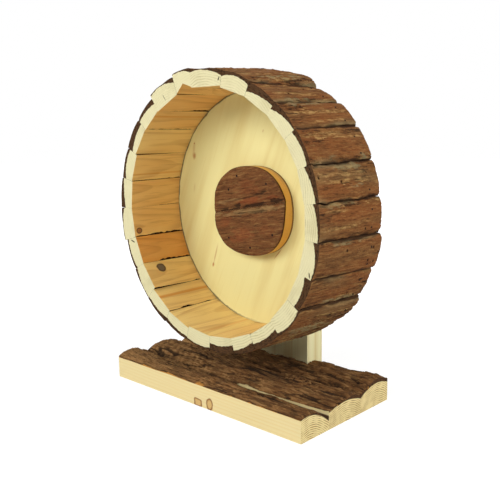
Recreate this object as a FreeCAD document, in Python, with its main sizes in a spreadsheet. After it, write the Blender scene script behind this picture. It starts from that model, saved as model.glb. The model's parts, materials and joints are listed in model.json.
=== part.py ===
import FreeCAD, Part
import math
import os

import Sketcher
from FreeCAD import Placement, Rotation, Vector

# Rodent exercise wheel: a drum of bark-on staves nailed round a plywood disc,
# turning on a bolt through an upright board that stands in a base of three bark-on slabs.
# +X runs along the base, +Y from the open front to the back, +Z up.
# The origin lies on the floor under the axle, at the middle of the staves' length.

# Driving sizes in millimetres, angles in degrees, counts and shares as plain numbers
SIZES = {
    # Drum
    "drum_clearance": 21.9,
    "disc_radius": 125,
    "disc_thickness": 10,
    "disc_setback": 11,
    "stave_count": 25,
    "stave_length": 92,
    "stave_edge": 13,
    "stave_crown": 3,
    "stave_unevenness": 1,
    "stave_gap": 0.6,
    "stave_seat": 0.1,
    "wide_share": 1.2,
    "slim_share": 0.63,
    "first_seam": 9,
    # Brads that hold the staves and the hub cover
    "brad_width": 1.8,
    "brad_thickness": 1.3,
    "brad_length": 30,
    "brad_spread": 7.5,
    "brad_sink": 0.3,
    "hub_brad_length": 18,
    "nail_clearance": 0.05,
    # Hub cover in two halves, and the boss behind the disc
    "hub_width": 101,
    "hub_height": 93,
    "hub_wall": 6,
    "hub_corner": 40,
    "hub_crown": 2,
    "hub_joint": 0.4,
    "recess_room": 1,
    "recess_side_room": 4,
    "boss_radius": 32,
    "upper_left_brad_across": -18,
    "upper_left_brad_up": 37,
    "upper_side_brad_across": -30,
    "upper_side_brad_up": 23,
    "upper_right_brad_across": 24,
    "upper_right_brad_up": 29,
    "lower_left_brad_across": -29,
    "lower_left_brad_up": -28,
    "lower_right_brad_across": 33,
    "lower_right_brad_up": -25,
    "lower_middle_brad_across": 1,
    "lower_middle_brad_up": -38,
    # Axle bolt, bush, washers and lock nut
    "bolt_radius": 4,
    "bolt_head_radius": 7.5,
    "bolt_head_height": 5.3,
    "bolt_end": 2.5,
    "running_clearance": 0.05,
    "bush_wall": 1.95,
    "bush_flange_width": 3,
    "bush_flange": 1.5,
    "press_clearance": 0.02,
    "axial_play": 0.2,
    "washer_width": 4.2,
    "washer_clearance": 0.3,
    "washer_thickness": 1.6,
    "nut_height": 6.5,
    "nut_collar_wall": 2,
    "nut_collar": 1.5,
    # Upright board
    "upright_gap": 4,
    "upright_width": 98,
    "upright_thickness": 25.5,
    "upright_rise": 46,
    "upright_corner": 34,
    "upright_foot": 12,
    "axle_hole_clearance": 0.15,
    # Base of three slabs, each sawn from a round log whose core line runs a little askew:
    # across and core give where the core lies at mid-length, swing and dip how it slants
    "base_length": 267,
    "slab_height": 30,
    "cut_margin": 5,
    "front_slab_width": 41,
    "front_slab_log_radius": 43.5,
    "front_slab_log_across": 13,
    "front_slab_log_core": -17,
    "front_slab_swing": -1.6,
    "front_slab_dip": 0.6,
    "middle_slab_width": 51.5,
    "middle_slab_log_radius": 55,
    "middle_slab_log_across": 26.5,
    "middle_slab_log_core": -29,
    "middle_slab_swing": 0.4,
    "middle_slab_dip": 1,
    "back_slab_width": 48,
    "back_slab_log_radius": 45,
    "back_slab_log_across": 26,
    "back_slab_log_core": -17.5,
    "back_slab_swing": 0.3,
    "back_slab_dip": -0.1,
    "notch_clearance": 0.3,
    # Dowels across the slabs and screws up into the upright
    "dowel_radius": 3,
    "dowel_height": 5,
    "dowel_reach": 20,
    "dowel_spacing": 170,
    "screw_radius": 2,
    "screw_head_radius": 4,
    "screw_length": 38,
    "screw_sink": 0.5,
    "screw_spacing": 56,
    "screw_count": 2,
}

# Staves that were cut wider or slimmer than the rest, counted clockwise from the first seam
ODD_STAVES = {1: "wide_share", 23: "wide_share", 24: "slim_share", 25: "wide_share"}

# Golden angle in degrees: spreads the staves' small differences in thickness evenly
GOLDEN_ANGLE = 137.5

# Places along Y, as expressions on the sizes
DISC_BACK = "(sizes.stave_length / 2 - sizes.disc_setback)"
DISC_MIDDLE = f"({DISC_BACK} - sizes.disc_thickness / 2)"
DISC_FRONT = f"({DISC_BACK} - sizes.disc_thickness)"
UPRIGHT_FRONT = "(sizes.stave_length / 2 + sizes.upright_gap)"
UPRIGHT_MIDDLE = f"({UPRIGHT_FRONT} + sizes.upright_thickness / 2)"
UPRIGHT_BACK = f"({UPRIGHT_FRONT} + sizes.upright_thickness)"
SPACER_FRONT = f"({UPRIGHT_FRONT} - sizes.washer_thickness)"
BOSS_BACK = f"({SPACER_FRONT} - sizes.axial_play)"
FLANGE_FRONT = f"({DISC_FRONT} - sizes.bush_flange)"
BOLT_HEAD_FRONT = f"({FLANGE_FRONT} - sizes.axial_play - sizes.bolt_head_height)"
RECESS_FRONT = f"({BOLT_HEAD_FRONT} - sizes.recess_room)"
HUB_FACE = f"({RECESS_FRONT} - sizes.hub_wall)"
NUT_FRONT = f"({UPRIGHT_BACK} + sizes.washer_thickness)"
NUT_BACK = f"({NUT_FRONT} + sizes.nut_height + sizes.nut_collar)"
BACK_SLAB_FRONT = f"({UPRIGHT_BACK} - sizes.back_slab_width)"
MIDDLE_SLAB_FRONT = f"({BACK_SLAB_FRONT} - sizes.middle_slab_width)"
FRONT_SLAB_FRONT = f"({MIDDLE_SLAB_FRONT} - sizes.front_slab_width)"

# Height of the axle: the drum's widest stave passes clear of the slabs
DRUM_RADIUS = ("(sizes.disc_radius + sizes.stave_seat + sizes.stave_edge"
               " + sizes.stave_unevenness + sizes.stave_crown)")
AXLE = f"(sizes.slab_height + sizes.drum_clearance + {DRUM_RADIUS})"

# Radii of what fits round the bolt
BUSH_BORE_RADIUS = "(sizes.bolt_radius + sizes.running_clearance)"
BUSH_RADIUS = f"({BUSH_BORE_RADIUS} + sizes.bush_wall)"
BUSH_SEAT_RADIUS = f"({BUSH_RADIUS} + sizes.press_clearance)"
FLANGE_RADIUS = f"({BUSH_RADIUS} + sizes.bush_flange_width)"
WASHER_HOLE_RADIUS = "(sizes.bolt_radius + sizes.washer_clearance)"
WASHER_RADIUS = f"({WASHER_HOLE_RADIUS} + sizes.washer_width)"
RECESS_RADIUS = f"({WASHER_RADIUS} + sizes.recess_side_room)"

# A quarter arc rises this share of its radius above its chord
QUARTER_RISE = f"{1 - math.sqrt(0.5):.6f}"

# Clearance round brads, screws and dowels in their holes
ROOM = "sizes.nail_clearance"

SIDES = {"left": -1, "right": 1}

# Turns a piece that is drawn along Z so that it lies along Y or X
ALONG_Y = Rotation(Vector(1, 0, 0), -90)
ALONG_X = Rotation(Vector(0, 1, 0), 90)
UNTURNED = Rotation()

doc = FreeCAD.newDocument("exercise_wheel")
sheet = doc.addObject("Spreadsheet::Sheet", "sizes")
for row, (alias, number) in enumerate(SIZES.items(), start=1):
    sheet.set(f"A{row}", alias)
    sheet.set(f"B{row}", str(number))
    sheet.setAlias(f"B{row}", alias)
doc.recompute()

nodes = []


def value(expression):
    """The number that an expression on the sizes gives."""
    return float(sheet.evalExpression(str(expression)))


def bind(piece, **expressions):
    """Ties properties of a piece to the sizes; a double underscore stands for a dot."""
    for path, expression in expressions.items():
        piece.setExpression(path.replace("__", "."), str(expression))


def place(piece, across="0", along="0", up="0", turn=UNTURNED):
    """Sets a piece's place, with each coordinate tied to the sizes."""
    piece.Placement = Placement(Vector(0, 0, 0), turn)
    bind(piece, Placement__Base__x=across, Placement__Base__y=along, Placement__Base__z=up)


def keep(piece, label):
    """Counts a piece as a finished sub-part under its own name."""
    piece.Label = label
    nodes.append(piece)
    return piece


def new_body(name):
    return doc.addObject("PartDesign::Body", name)


def outline(body, name, plane, corners, lift="0"):
    """A closed sketch through corners given as pairs of expressions.

    A third entry makes the edge that leaves a corner an arc, and is the arc's rise
    to the left of the way to the next corner. A negative rise bulges to the right.
    """
    sketch = body.newObject("Sketcher::SketchObject", name)
    support = next(f for f in body.Origin.OriginFeatures if f.Role == plane)
    sketch.AttachmentSupport = (support, [""])
    sketch.MapMode = "FlatFace"
    bind(sketch, AttachmentOffset__Base__z=lift)
    points = [Vector(value(corner[0]), value(corner[1]), 0) for corner in corners]
    edges = []
    for index, corner in enumerate(corners):
        following = (index + 1) % len(corners)
        start = points[index]
        end = points[following]
        if len(corner) == 2:
            edges.append((sketch.addGeometry(Part.LineSegment(start, end)), 1, 2))
            continue
        rise = value(corner[2])
        chord = end - start
        radius = (chord.Length ** 2 / 4 + rise ** 2) / (2 * rise)
        left = Vector(-chord.y, chord.x, 0).normalize()
        centre = (start + end) * 0.5 + left * (rise - radius)
        first, last = (end, start) if rise > 0 else (start, end)
        begin = math.atan2(first.y - centre.y, first.x - centre.x)
        finish = math.atan2(last.y - centre.y, last.x - centre.x)
        if finish < begin:
            finish += 2 * math.pi
        circle = Part.Circle(centre, Vector(0, 0, 1), abs(radius))
        arc = sketch.addGeometry(Part.ArcOfCircle(circle, begin, finish))
        edges.append((arc, 2, 1) if rise > 0 else (arc, 1, 2))
        across = f"({corners[following][0]}) - ({corner[0]})"
        up = f"({corners[following][1]}) - ({corner[1]})"
        half_chord_squared = f"(({across})^2 + ({up})^2) / 4"
        label = f"edge_{index}_radius"
        number = sketch.addConstraint(Sketcher.Constraint("Radius", arc, abs(radius)))
        sketch.renameConstraint(number, label)
        bent = f"({half_chord_squared} + ({corner[2]})^2) / (2 * abs({corner[2]}))"
        sketch.setExpression(f"Constraints.{label}", bent)
    for index, (edge, start_point, _) in enumerate(edges):
        earlier, _, earlier_end = edges[index - 1]
        sketch.addConstraint(Sketcher.Constraint("Coincident", earlier, earlier_end, edge, start_point))
        for kind, part in (("DistanceX", 0), ("DistanceY", 1)):
            label = f"corner_{index}_{'across' if part == 0 else 'up'}"
            distance = points[index][part]
            number = sketch.addConstraint(Sketcher.Constraint(kind, -1, 1, edge, start_point, distance))
            sketch.renameConstraint(number, label)
            sketch.setExpression(f"Constraints.{label}", str(corners[index][part]))
    return sketch


def pad(body, sketch, length, side="Symmetric", backwards=False):
    """Thickens a sketch, evenly to both sides unless told otherwise."""
    feature = body.newObject("PartDesign::Pad", f"{body.Name}_pad")
    feature.Profile = sketch
    feature.SideType = side
    feature.Reversed = backwards
    bind(feature, Length=length)
    return feature


def revolve(body, sketch, axis):
    """Turns a sketch a full turn about one of the body's own axes."""
    feature = body.newObject("PartDesign::Revolution", f"{body.Name}_turned")
    feature.Profile = sketch
    line = next(f for f in body.Origin.OriginFeatures if f.Role == axis)
    feature.ReferenceAxis = (line, [""])
    feature.Angle = 360
    return feature


def box(name, length, width, height, **where):
    piece = doc.addObject("Part::Box", name)
    bind(piece, Length=length, Width=width, Height=height)
    place(piece, **where)
    return piece


def cylinder(name, radius, height, **where):
    piece = doc.addObject("Part::Cylinder", name)
    bind(piece, Radius=radius, Height=height)
    place(piece, **where)
    return piece


def hexagon(name, circumradius, height, **where):
    piece = doc.addObject("Part::Prism", name)
    piece.Polygon = 6
    bind(piece, Circumradius=circumradius, Height=height)
    place(piece, **where)
    return piece


def group(name, pieces):
    compound = doc.addObject("Part::Compound", name)
    compound.Links = pieces
    return compound


def cut(name, solid, tool):
    piece = doc.addObject("Part::Cut", name)
    piece.Base = solid
    piece.Tool = tool
    return piece


def fuse(name, first, second):
    piece = doc.addObject("Part::Fuse", name)
    piece.Base = first
    piece.Tool = second
    return piece


# Ring of staves


def share_of(number):
    """Width of a numbered stave in standard widths, as an expression."""
    return f"sizes.{ODD_STAVES[number]}" if number in ODD_STAVES else "1"


def share_before(number):
    """Widths of all the staves before a numbered one, in standard widths."""
    earlier = [share_of(stave) for stave in range(1, number)]
    terms = [f"{earlier.count(share)} * {share}" for share in sorted(set(earlier))]
    return f"({' + '.join(terms) or '0'})"


stave_numbers = range(1, int(value("sizes.stave_count")) + 1)
STANDARD_ANGLE = f"(360 / {share_before(len(stave_numbers) + 1)})"


def turn_on_axle(piece, number):
    """Turns a piece drawn at the top of the drum to the middle of a numbered stave."""
    place(piece, up=AXLE, turn=Rotation(Vector(0, 1, 0), 1))
    middle = f"({share_before(number)} + {share_of(number)} / 2)"
    bind(piece, Placement__Rotation__Angle=f"sizes.first_seam + {STANDARD_ANGLE} * {middle}")


def stave_edge(number):
    """Radial thickness of a stave at its seams, bark included."""
    return f"(sizes.stave_edge + sizes.stave_unevenness * sin({GOLDEN_ANGLE} * {number}))"


def stave_blank(number):
    """Half-round stave: flat inside, mitred sides, a crown of bark outside."""
    body = new_body(f"stave_blank_{number:02d}")
    inside = "(sizes.disc_radius + sizes.stave_seat)"
    outside = f"({inside} + {stave_edge(number)})"
    slope = f"tan({STANDARD_ANGLE} * {share_of(number)} / 2)"
    half_gap = "sizes.stave_gap / 2"
    half_inside = f"({inside} * {slope} - {half_gap})"
    half_outside = f"({outside} * {slope} - {half_gap})"
    profile = outline(body, f"{body.Name}_profile", "XZ_Plane", [
        (f"-{half_inside}", inside),
        (f"-{half_outside}", outside, "sizes.stave_crown"),
        (half_outside, outside),
        (half_inside, inside),
    ])
    pad(body, profile, "sizes.stave_length")
    turn_on_axle(body, number)
    return body


def brad_pair(name, number, room="0", extra="0"):
    """Two flat brads side by side, driven through a stave into the disc's rim.

    Room widens them all round for their holes, and extra lengthens them at both ends.
    """
    edge = f"(sizes.disc_radius + sizes.stave_seat + {stave_edge(number)})"
    half_width = f"({edge} * tan({STANDARD_ANGLE} * {share_of(number)} / 2))"
    spread = f"(sizes.brad_spread * {share_of(number)})"
    crown = f"(sizes.stave_crown * (1 - ({spread} / {half_width})^2))"
    head = f"({edge} + {crown} - sizes.brad_sink)"
    width = f"(sizes.brad_width + 2 * {room})"
    thickness = f"(sizes.brad_thickness + 2 * {room})"
    brads = []
    for label, side in SIDES.items():
        brads.append(box(
            f"{name}_{label}", width, thickness, f"sizes.brad_length + 2 * {extra}",
            across=f"{side} * {spread} - {width} / 2", along=f"{DISC_MIDDLE} - {thickness} / 2",
            up=f"{head} - sizes.brad_length - {extra}"))
    pair = group(name, brads)
    turn_on_axle(pair, number)
    return pair


stave_brads = []
rim_holes = []
for number in stave_numbers:
    stave_brads.append(brad_pair(f"brads_{number:02d}", number))
    rim_holes.append(brad_pair(f"rim_holes_{number:02d}", number, ROOM, ROOM))
    shafts = brad_pair(f"stave_holes_{number:02d}", number, ROOM, "sizes.stave_crown")
    keep(cut(f"stave_cut_{number:02d}", stave_blank(number), shafts), f"stave_{number:02d}")
keep(group("stave_brads_group", stave_brads), "stave_brads")


# Disc, boss and hub cover


def on_axle(name, radius, length, front):
    """A round bar on the axle line that starts at a place along Y."""
    return cylinder(name, radius, length, along=front, up=AXLE, turn=ALONG_Y)


BRAD_PLACES = {
    "upper": ("upper_left", "upper_side", "upper_right"),
    "lower": ("lower_left", "lower_right", "lower_middle"),
}


def hub_brads(name, half, room="0", extra="0"):
    """Three flat brads through one half of the hub cover into the disc."""
    front = f"({HUB_FACE} + sizes.hub_crown + sizes.brad_sink - {extra})"
    width = f"(sizes.brad_width + 2 * {room})"
    thickness = f"(sizes.brad_thickness + 2 * {room})"
    return [box(
        f"{name}_{spot}", width, f"sizes.hub_brad_length + 2 * {extra}", thickness,
        across=f"sizes.{spot}_brad_across - {width} / 2", along=front,
        up=f"{AXLE} + sizes.{spot}_brad_up - {thickness} / 2")
        for spot in BRAD_PLACES[half]]


disc_blank = on_axle("disc_blank", "sizes.disc_radius", "sizes.disc_thickness", DISC_FRONT)
disc_bore = on_axle("disc_bore", BUSH_SEAT_RADIUS, "sizes.disc_thickness", DISC_FRONT)
face_holes = []
for half in BRAD_PLACES:
    face_holes += hub_brads(f"{half}_face_hole", half, ROOM, ROOM)
disc_holes = group("disc_holes", [disc_bore] + rim_holes + face_holes)
keep(cut("disc_cut", disc_blank, disc_holes), "back_disc")

boss_length = f"({BOSS_BACK} - {DISC_BACK})"
boss_blank = on_axle("boss_blank", "sizes.boss_radius", boss_length, DISC_BACK)
boss_bore = on_axle("boss_bore", BUSH_SEAT_RADIUS, boss_length, DISC_BACK)
keep(cut("boss_cut", boss_blank, boss_bore), "hub_boss")


def hub_cover(half, side):
    """One bark-on half of the hub cover: crowned across its face, sawn to a rounded outline."""
    joint = f"({side} * sizes.hub_joint / 2)"
    top = f"({side} * sizes.hub_height / 2)"
    shoulder = f"({side} * (sizes.hub_height / 2 - sizes.hub_corner))"
    edge = "(sizes.hub_width / 2)"
    flat = "(sizes.hub_width / 2 - sizes.hub_corner)"
    corner_rise = f"{side} * sizes.hub_corner * {QUARTER_RISE}"
    sawn = new_body(f"hub_{half}_outline")
    shape = outline(sawn, f"hub_{half}_shape", "XZ_Plane", [
        (f"-{edge}", joint),
        (f"-{edge}", shoulder, corner_rise),
        (f"-{flat}", top),
        (flat, top, corner_rise),
        (edge, shoulder),
        (edge, joint),
    ], lift=f"-{DISC_FRONT}")
    pad(sawn, shape, f"{DISC_FRONT} - {HUB_FACE}", side="One side")
    place(sawn, up=AXLE)
    crowned = new_body(f"hub_{half}_crowned")
    low_face = f"({HUB_FACE} + sizes.hub_crown)"
    section = outline(crowned, f"hub_{half}_section", "YZ_Plane", [
        (DISC_FRONT, joint),
        (low_face, joint, f"{side} * sizes.hub_crown"),
        (low_face, top),
        (DISC_FRONT, top),
    ])
    pad(crowned, section, "sizes.hub_width")
    place(crowned, up=AXLE)
    cover = doc.addObject("Part::Common", f"hub_{half}_common")
    cover.Base = crowned
    cover.Tool = sawn
    recess = on_axle(f"hub_{half}_recess", RECESS_RADIUS, f"{DISC_FRONT} - {RECESS_FRONT}", RECESS_FRONT)
    holes = hub_brads(f"hub_{half}_hole", half, ROOM, "sizes.hub_crown")
    keep(cut(f"hub_{half}_cut", cover, group(f"hub_{half}_cuts", [recess] + holes)), f"hub_cover_{half}")


hub_cover("upper", 1)
hub_cover("lower", -1)
cover_brads = hub_brads("upper_brad", "upper") + hub_brads("lower_brad", "lower")
keep(group("hub_brads_group", cover_brads), "hub_brads")

# Axle: flanged bush, bolt, washers and lock nut

bush_body = new_body("bush_body")
bush_profile = outline(bush_body, "bush_profile", "YZ_Plane", [
    (FLANGE_FRONT, BUSH_BORE_RADIUS),
    (FLANGE_FRONT, FLANGE_RADIUS),
    (DISC_FRONT, FLANGE_RADIUS),
    (DISC_FRONT, BUSH_RADIUS),
    (BOSS_BACK, BUSH_RADIUS),
    (BOSS_BACK, BUSH_BORE_RADIUS),
])
revolve(bush_body, bush_profile, "Y_Axis")
place(bush_body, up=AXLE)
keep(bush_body, "axle_bush")

bolt_end = f"({NUT_BACK} + sizes.bolt_end)"
bolt_head = hexagon("bolt_head", "sizes.bolt_head_radius", "sizes.bolt_head_height",
                    along=BOLT_HEAD_FRONT, up=AXLE, turn=ALONG_Y)
bolt_shank = on_axle("bolt_shank", "sizes.bolt_radius", f"{bolt_end} - {BOLT_HEAD_FRONT}", BOLT_HEAD_FRONT)
keep(fuse("bolt_whole", bolt_head, bolt_shank), "axle_bolt")


def washer(label, front):
    rim = on_axle(f"{label}_rim", WASHER_RADIUS, "sizes.washer_thickness", front)
    hole = on_axle(f"{label}_hole", WASHER_HOLE_RADIUS, "sizes.washer_thickness", front)
    keep(cut(f"{label}_ring", rim, hole), label)


washer("spacer_washer", SPACER_FRONT)
washer("back_washer", UPRIGHT_BACK)

nut_hex = hexagon("nut_hex", "sizes.bolt_head_radius", "sizes.nut_height",
                  along=NUT_FRONT, up=AXLE, turn=ALONG_Y)
nut_length = "(sizes.nut_height + sizes.nut_collar)"
nut_collar = on_axle("nut_collar_bar", "(sizes.bolt_radius + sizes.nut_collar_wall)", nut_length, NUT_FRONT)
nut_bore = on_axle("nut_bore", "(sizes.bolt_radius + sizes.press_clearance)", nut_length, NUT_FRONT)
keep(cut("nut_whole", fuse("nut_solid", nut_hex, nut_collar), nut_bore), "lock_nut")

# Screws up through the back slab into the upright's foot


def screw(name, across, hole=False):
    """Countersunk wood screw with its head down, or the wider hole that it sits in."""
    room = ROOM if hole else "0"
    start = "0" if hole else "sizes.screw_sink"
    shank = f"(sizes.screw_radius + {room})"
    neck = "(sizes.screw_sink + sizes.screw_head_radius - sizes.screw_radius)"
    end = f"(sizes.screw_sink + sizes.screw_length + {room})"
    body = new_body(name)
    profile = outline(body, f"{name}_profile", "XZ_Plane", [
        ("0", start),
        ("0", end),
        (shank, end),
        (shank, neck),
        (f"({shank} + {neck} - {start})", start),
    ])
    revolve(body, profile, "Z_Axis")
    place(body, across=across, along=UPRIGHT_MIDDLE)
    return body


screws = []
screw_holes = []
screw_total = int(value("sizes.screw_count"))
for number in range(screw_total):
    across = f"({number} - {(screw_total - 1) / 2}) * sizes.screw_spacing"
    screws.append(screw(f"screw_{number + 1}", across))
    screw_holes.append(screw(f"screw_hole_{number + 1}", across, hole=True))
keep(group("screws_group", screws), "upright_screws")
screw_hole_group = group("screw_holes_group", screw_holes)

# Dowels across the three slabs


def dowel(name, side, room="0"):
    """Round peg along Y that crosses the middle slab and ends in the other two."""
    length = f"sizes.middle_slab_width + 2 * sizes.dowel_reach + 2 * {room}"
    return cylinder(
        name, f"sizes.dowel_radius + {room}", length, across=f"{side} * sizes.dowel_spacing / 2",
        along=f"{MIDDLE_SLAB_FRONT} - sizes.dowel_reach - {room}", up="sizes.dowel_height", turn=ALONG_Y)


dowels = [dowel(f"dowel_{label}", side) for label, side in SIDES.items()]
keep(group("dowels_group", dowels), "base_dowels")
dowel_holes = group("dowel_holes_group", [
    dowel(f"dowel_hole_{label}", side, ROOM) for label, side in SIDES.items()])

# Base slabs and upright


def slab_blank(slab, front):
    """Flat-bottomed slab with a bark crown: a sawn block within a round log that lies askew."""
    block = box(
        f"{slab}_block", "sizes.base_length", f"sizes.{slab}_width", "sizes.slab_height",
        across="-sizes.base_length / 2", along=front)
    log_length = "(sizes.base_length + 2 * sizes.cut_margin)"
    log = cylinder(
        f"{slab}_log", f"sizes.{slab}_log_radius", log_length, across=f"-{log_length} / 2", turn=ALONG_X)
    swung = group(f"{slab}_swung_log", [log])
    place(swung, turn=Rotation(Vector(0, 0, 1), 1))
    bind(swung, Placement__Rotation__Angle=f"sizes.{slab}_swing")
    dipped = group(f"{slab}_dipped_log", [swung])
    place(dipped, along=f"{front} + sizes.{slab}_log_across", up=f"sizes.{slab}_log_core",
          turn=Rotation(Vector(0, 1, 0), 1))
    bind(dipped, Placement__Rotation__Angle=f"sizes.{slab}_dip")
    blank = doc.addObject("Part::Common", f"{slab}_blank")
    blank.Base = block
    blank.Tool = dipped
    return blank


front_blank = slab_blank("front_slab", FRONT_SLAB_FRONT)
middle_blank = slab_blank("middle_slab", MIDDLE_SLAB_FRONT)
back_blank = slab_blank("back_slab", BACK_SLAB_FRONT)

notch_width = "(sizes.upright_width + 2 * sizes.notch_clearance)"
notch_depth = "(sizes.upright_thickness + sizes.notch_clearance + sizes.cut_margin)"
notch = box(
    "upright_notch", notch_width, notch_depth, "sizes.slab_height", across=f"-{notch_width} / 2",
    along=f"{UPRIGHT_FRONT} - sizes.notch_clearance", up="sizes.upright_foot")

keep(cut("front_slab_cut", front_blank, dowel_holes), "base_slab_front")
keep(cut("middle_slab_cut", middle_blank, dowel_holes), "base_slab_middle")
back_cuts = group("back_slab_cuts", [dowel_holes, screw_hole_group, notch])
keep(cut("back_slab_cut", back_blank, back_cuts), "base_slab_back")

board = new_body("upright_board")
board_top = f"({AXLE} + sizes.upright_rise)"
board_edge = "(sizes.upright_width / 2)"
board_flat = "(sizes.upright_width / 2 - sizes.upright_corner)"
board_shoulder = f"({board_top} - sizes.upright_corner)"
board_rise = f"sizes.upright_corner * {QUARTER_RISE}"
board_shape = outline(board, "upright_shape", "XZ_Plane", [
    (f"-{board_edge}", "sizes.upright_foot"),
    (f"-{board_edge}", board_shoulder, board_rise),
    (f"-{board_flat}", board_top),
    (board_flat, board_top, board_rise),
    (board_edge, board_shoulder),
    (board_edge, "sizes.upright_foot"),
], lift=f"-{UPRIGHT_FRONT}")
pad(board, board_shape, "sizes.upright_thickness", side="One side", backwards=True)
axle_hole = on_axle("axle_hole", "(sizes.bolt_radius + sizes.axle_hole_clearance)",
                    "sizes.upright_thickness", UPRIGHT_FRONT)
keep(cut("upright_cut", board, group("upright_cuts", [axle_hole, screw_hole_group])), "upright")

# Test every object, then write each sub-part to its own file

doc.recompute()
for piece in doc.Objects:
    if {"Invalid", "Error"} & set(piece.State):
        raise RuntimeError(f"{piece.Name} did not build: {piece.State}")
for piece in nodes:
    if piece.Shape.isNull() or not piece.Shape.isValid() or not piece.Shape.Solids:
        raise RuntimeError(f"{piece.Label} has no sound solid")

os.makedirs("parts", exist_ok=True)
for piece in nodes:
    piece.Shape.exportStep(os.path.join("parts", f"{piece.Label}.step"))
    print(f"{piece.Label}: {len(piece.Shape.Solids)} solid(s), {piece.Shape.Volume:.0f} mm3")
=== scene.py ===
"""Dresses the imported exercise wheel: bark, sawn wood, plywood and metal, on a plain white stage."""

import json
import math

import bmesh
import bpy
from bpy.props import FloatProperty, FloatVectorProperty, IntProperty, PointerProperty
from mathutils import Matrix, Vector, noise
from mathutils.bvhtree import BVHTree

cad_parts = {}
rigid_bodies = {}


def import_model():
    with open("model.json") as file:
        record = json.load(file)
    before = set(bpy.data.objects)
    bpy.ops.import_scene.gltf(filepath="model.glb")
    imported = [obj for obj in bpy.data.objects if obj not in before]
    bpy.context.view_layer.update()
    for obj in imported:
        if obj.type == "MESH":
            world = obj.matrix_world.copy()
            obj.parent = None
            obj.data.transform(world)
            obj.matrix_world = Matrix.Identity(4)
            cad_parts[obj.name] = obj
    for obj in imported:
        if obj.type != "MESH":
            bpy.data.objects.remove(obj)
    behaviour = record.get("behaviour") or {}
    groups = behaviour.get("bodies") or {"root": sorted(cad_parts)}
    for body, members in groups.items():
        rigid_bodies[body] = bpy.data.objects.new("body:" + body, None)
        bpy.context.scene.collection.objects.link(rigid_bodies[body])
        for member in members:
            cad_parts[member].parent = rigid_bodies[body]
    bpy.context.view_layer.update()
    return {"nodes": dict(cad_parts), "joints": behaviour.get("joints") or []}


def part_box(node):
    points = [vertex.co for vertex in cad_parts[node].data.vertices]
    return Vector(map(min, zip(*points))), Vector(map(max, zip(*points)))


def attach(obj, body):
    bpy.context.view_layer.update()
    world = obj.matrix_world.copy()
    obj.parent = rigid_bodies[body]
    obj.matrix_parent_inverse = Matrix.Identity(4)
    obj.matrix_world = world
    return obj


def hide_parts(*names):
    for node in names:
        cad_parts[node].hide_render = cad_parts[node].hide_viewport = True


bl_info = {
    "name": "Bark Exercise Wheel",
    "version": (1, 0, 0),
    "blender": (4, 5, 0),
    "location": "3D View > Sidebar > Exercise Wheel",
    "description": "Builds the bark, wood and metal of a rodent exercise wheel round its CAD frame",
    "category": "Object",
}

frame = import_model()

MM = 0.001
AXLE = Vector(frame["joints"][0]["pos_m"])
ALONG_AXLE = Vector((0, 1, 0))
UP = Vector((0, 0, 1))

# Seams between the staves, in degrees clockwise from the top: stave 1 starts at the first
SEAMS = (
    9.5, 24.9, 40.0, 53.8, 68.0, 82.3, 96.7, 111.1, 124.8, 139.3, 154.1, 166.4, 181.0, 195.5, 210.5, 225.2,
    239.8, 254.1, 269.2, 283.1, 297.2, 311.7, 324.8, 340.6, 351.0,
)

# Front ends of the staves: thickness of the pale wood at the start seam, in the middle and at the
# end seam, and of wood and bark together in the middle, in millimetres
STAVE_ENDS = {
    1: (8.4, 11.6, 8.8, 14.3), 2: (3.0, 6.5, 8.0, 12.8), 3: (4.6, 9.7, 11.8, 13.8),
    4: (8.6, 10.5, 9.0, 14.4), 5: (6.0, 8.8, 10.7, 14.6), 6: (7.4, 10.7, 12.0, 14.0),
    7: (7.6, 12.3, 13.0, 15.3), 8: (5.9, 8.3, 8.6, 15.3), 9: (14.1, 15.8, 12.9, 17.2),
    10: (8.7, 10.3, 9.8, 16.0), 11: (8.0, 10.7, 12.2, 16.0), 12: (6.8, 8.5, 7.4, 15.4),
    13: (12.7, 14.2, 13.2, 15.7), 14: (12.5, 12.7, 11.2, 16.5), 15: (11.7, 13.7, 13.9, 17.5),
    16: (15.0, 14.5, 11.0, 16.0), 17: (10.2, 12.7, 11.5, 15.2), 18: (17.0, 16.2, 12.0, 17.5),
    19: (9.0, 11.5, 13.5, 17.0), 20: (9.7, 13.0, 11.5, 16.5), 21: (7.0, 10.0, 10.0, 17.2),
    22: (13.2, 12.5, 9.7, 17.2), 23: (18.7, 18.4, 12.2, 19.2), 24: (19.8, 19.1, 15.0, 20.0),
    25: (14.5, 14.0, 9.2, 15.2),
}

# How orange the sawn face of a stave is, from tan at 0 to orange at 1
STAVE_WARMTH = {
    11: 0.35, 12: 0.2, 13: 0.0, 14: -0.15, 15: 0.15, 16: 0.2, 17: 0.9, 18: 0.5, 19: 0.45, 20: 0.3,
    21: 0.15, 22: 0.4, 23: 0.65, 24: 0.5, 25: 0.4, 1: 0.4,
}
PLAIN_WARMTH = 0.45

# Warm stripes along sawn faces: share of the half width, half width of the stripe, how much warmer
STAVE_STRIPES = {15: (0.25, 0.16, 0.7), 13: (-0.2, 0.2, 0.4), 20: (-0.5, 0.1, 0.4), 22: (0.4, 0.12, 0.4)}
NO_STRIPE = (0, 1, 0)

# How plainly the growth rings show on a stave's front end
STAVE_RINGS = {
    1: 0.35, 2: 0.3, 3: 0.2, 4: 0.3, 5: 0.5, 6: 0.7, 7: 0.22, 8: 0.2, 9: 0.55, 10: 0.7, 11: 0.45, 12: 0.35,
    24: 0.15, 25: 0.6,
}
PLAIN_RINGS = 0.25

# Cracks in the staves' front ends: degrees clockwise from the top, millimetres from the axle, half length,
# half width and lean in degrees
END_CRACKS = {
    25: (8.2, 131.0, 2.2, 0.9, 20), 7: (109.6, 135.2, 3.0, 0.8, 62), 23: (332.0, 131.0, 4.5, 0.4, -10),
    17: (252.6, 129.5, 4.0, 0.9, 35),
}

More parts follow.
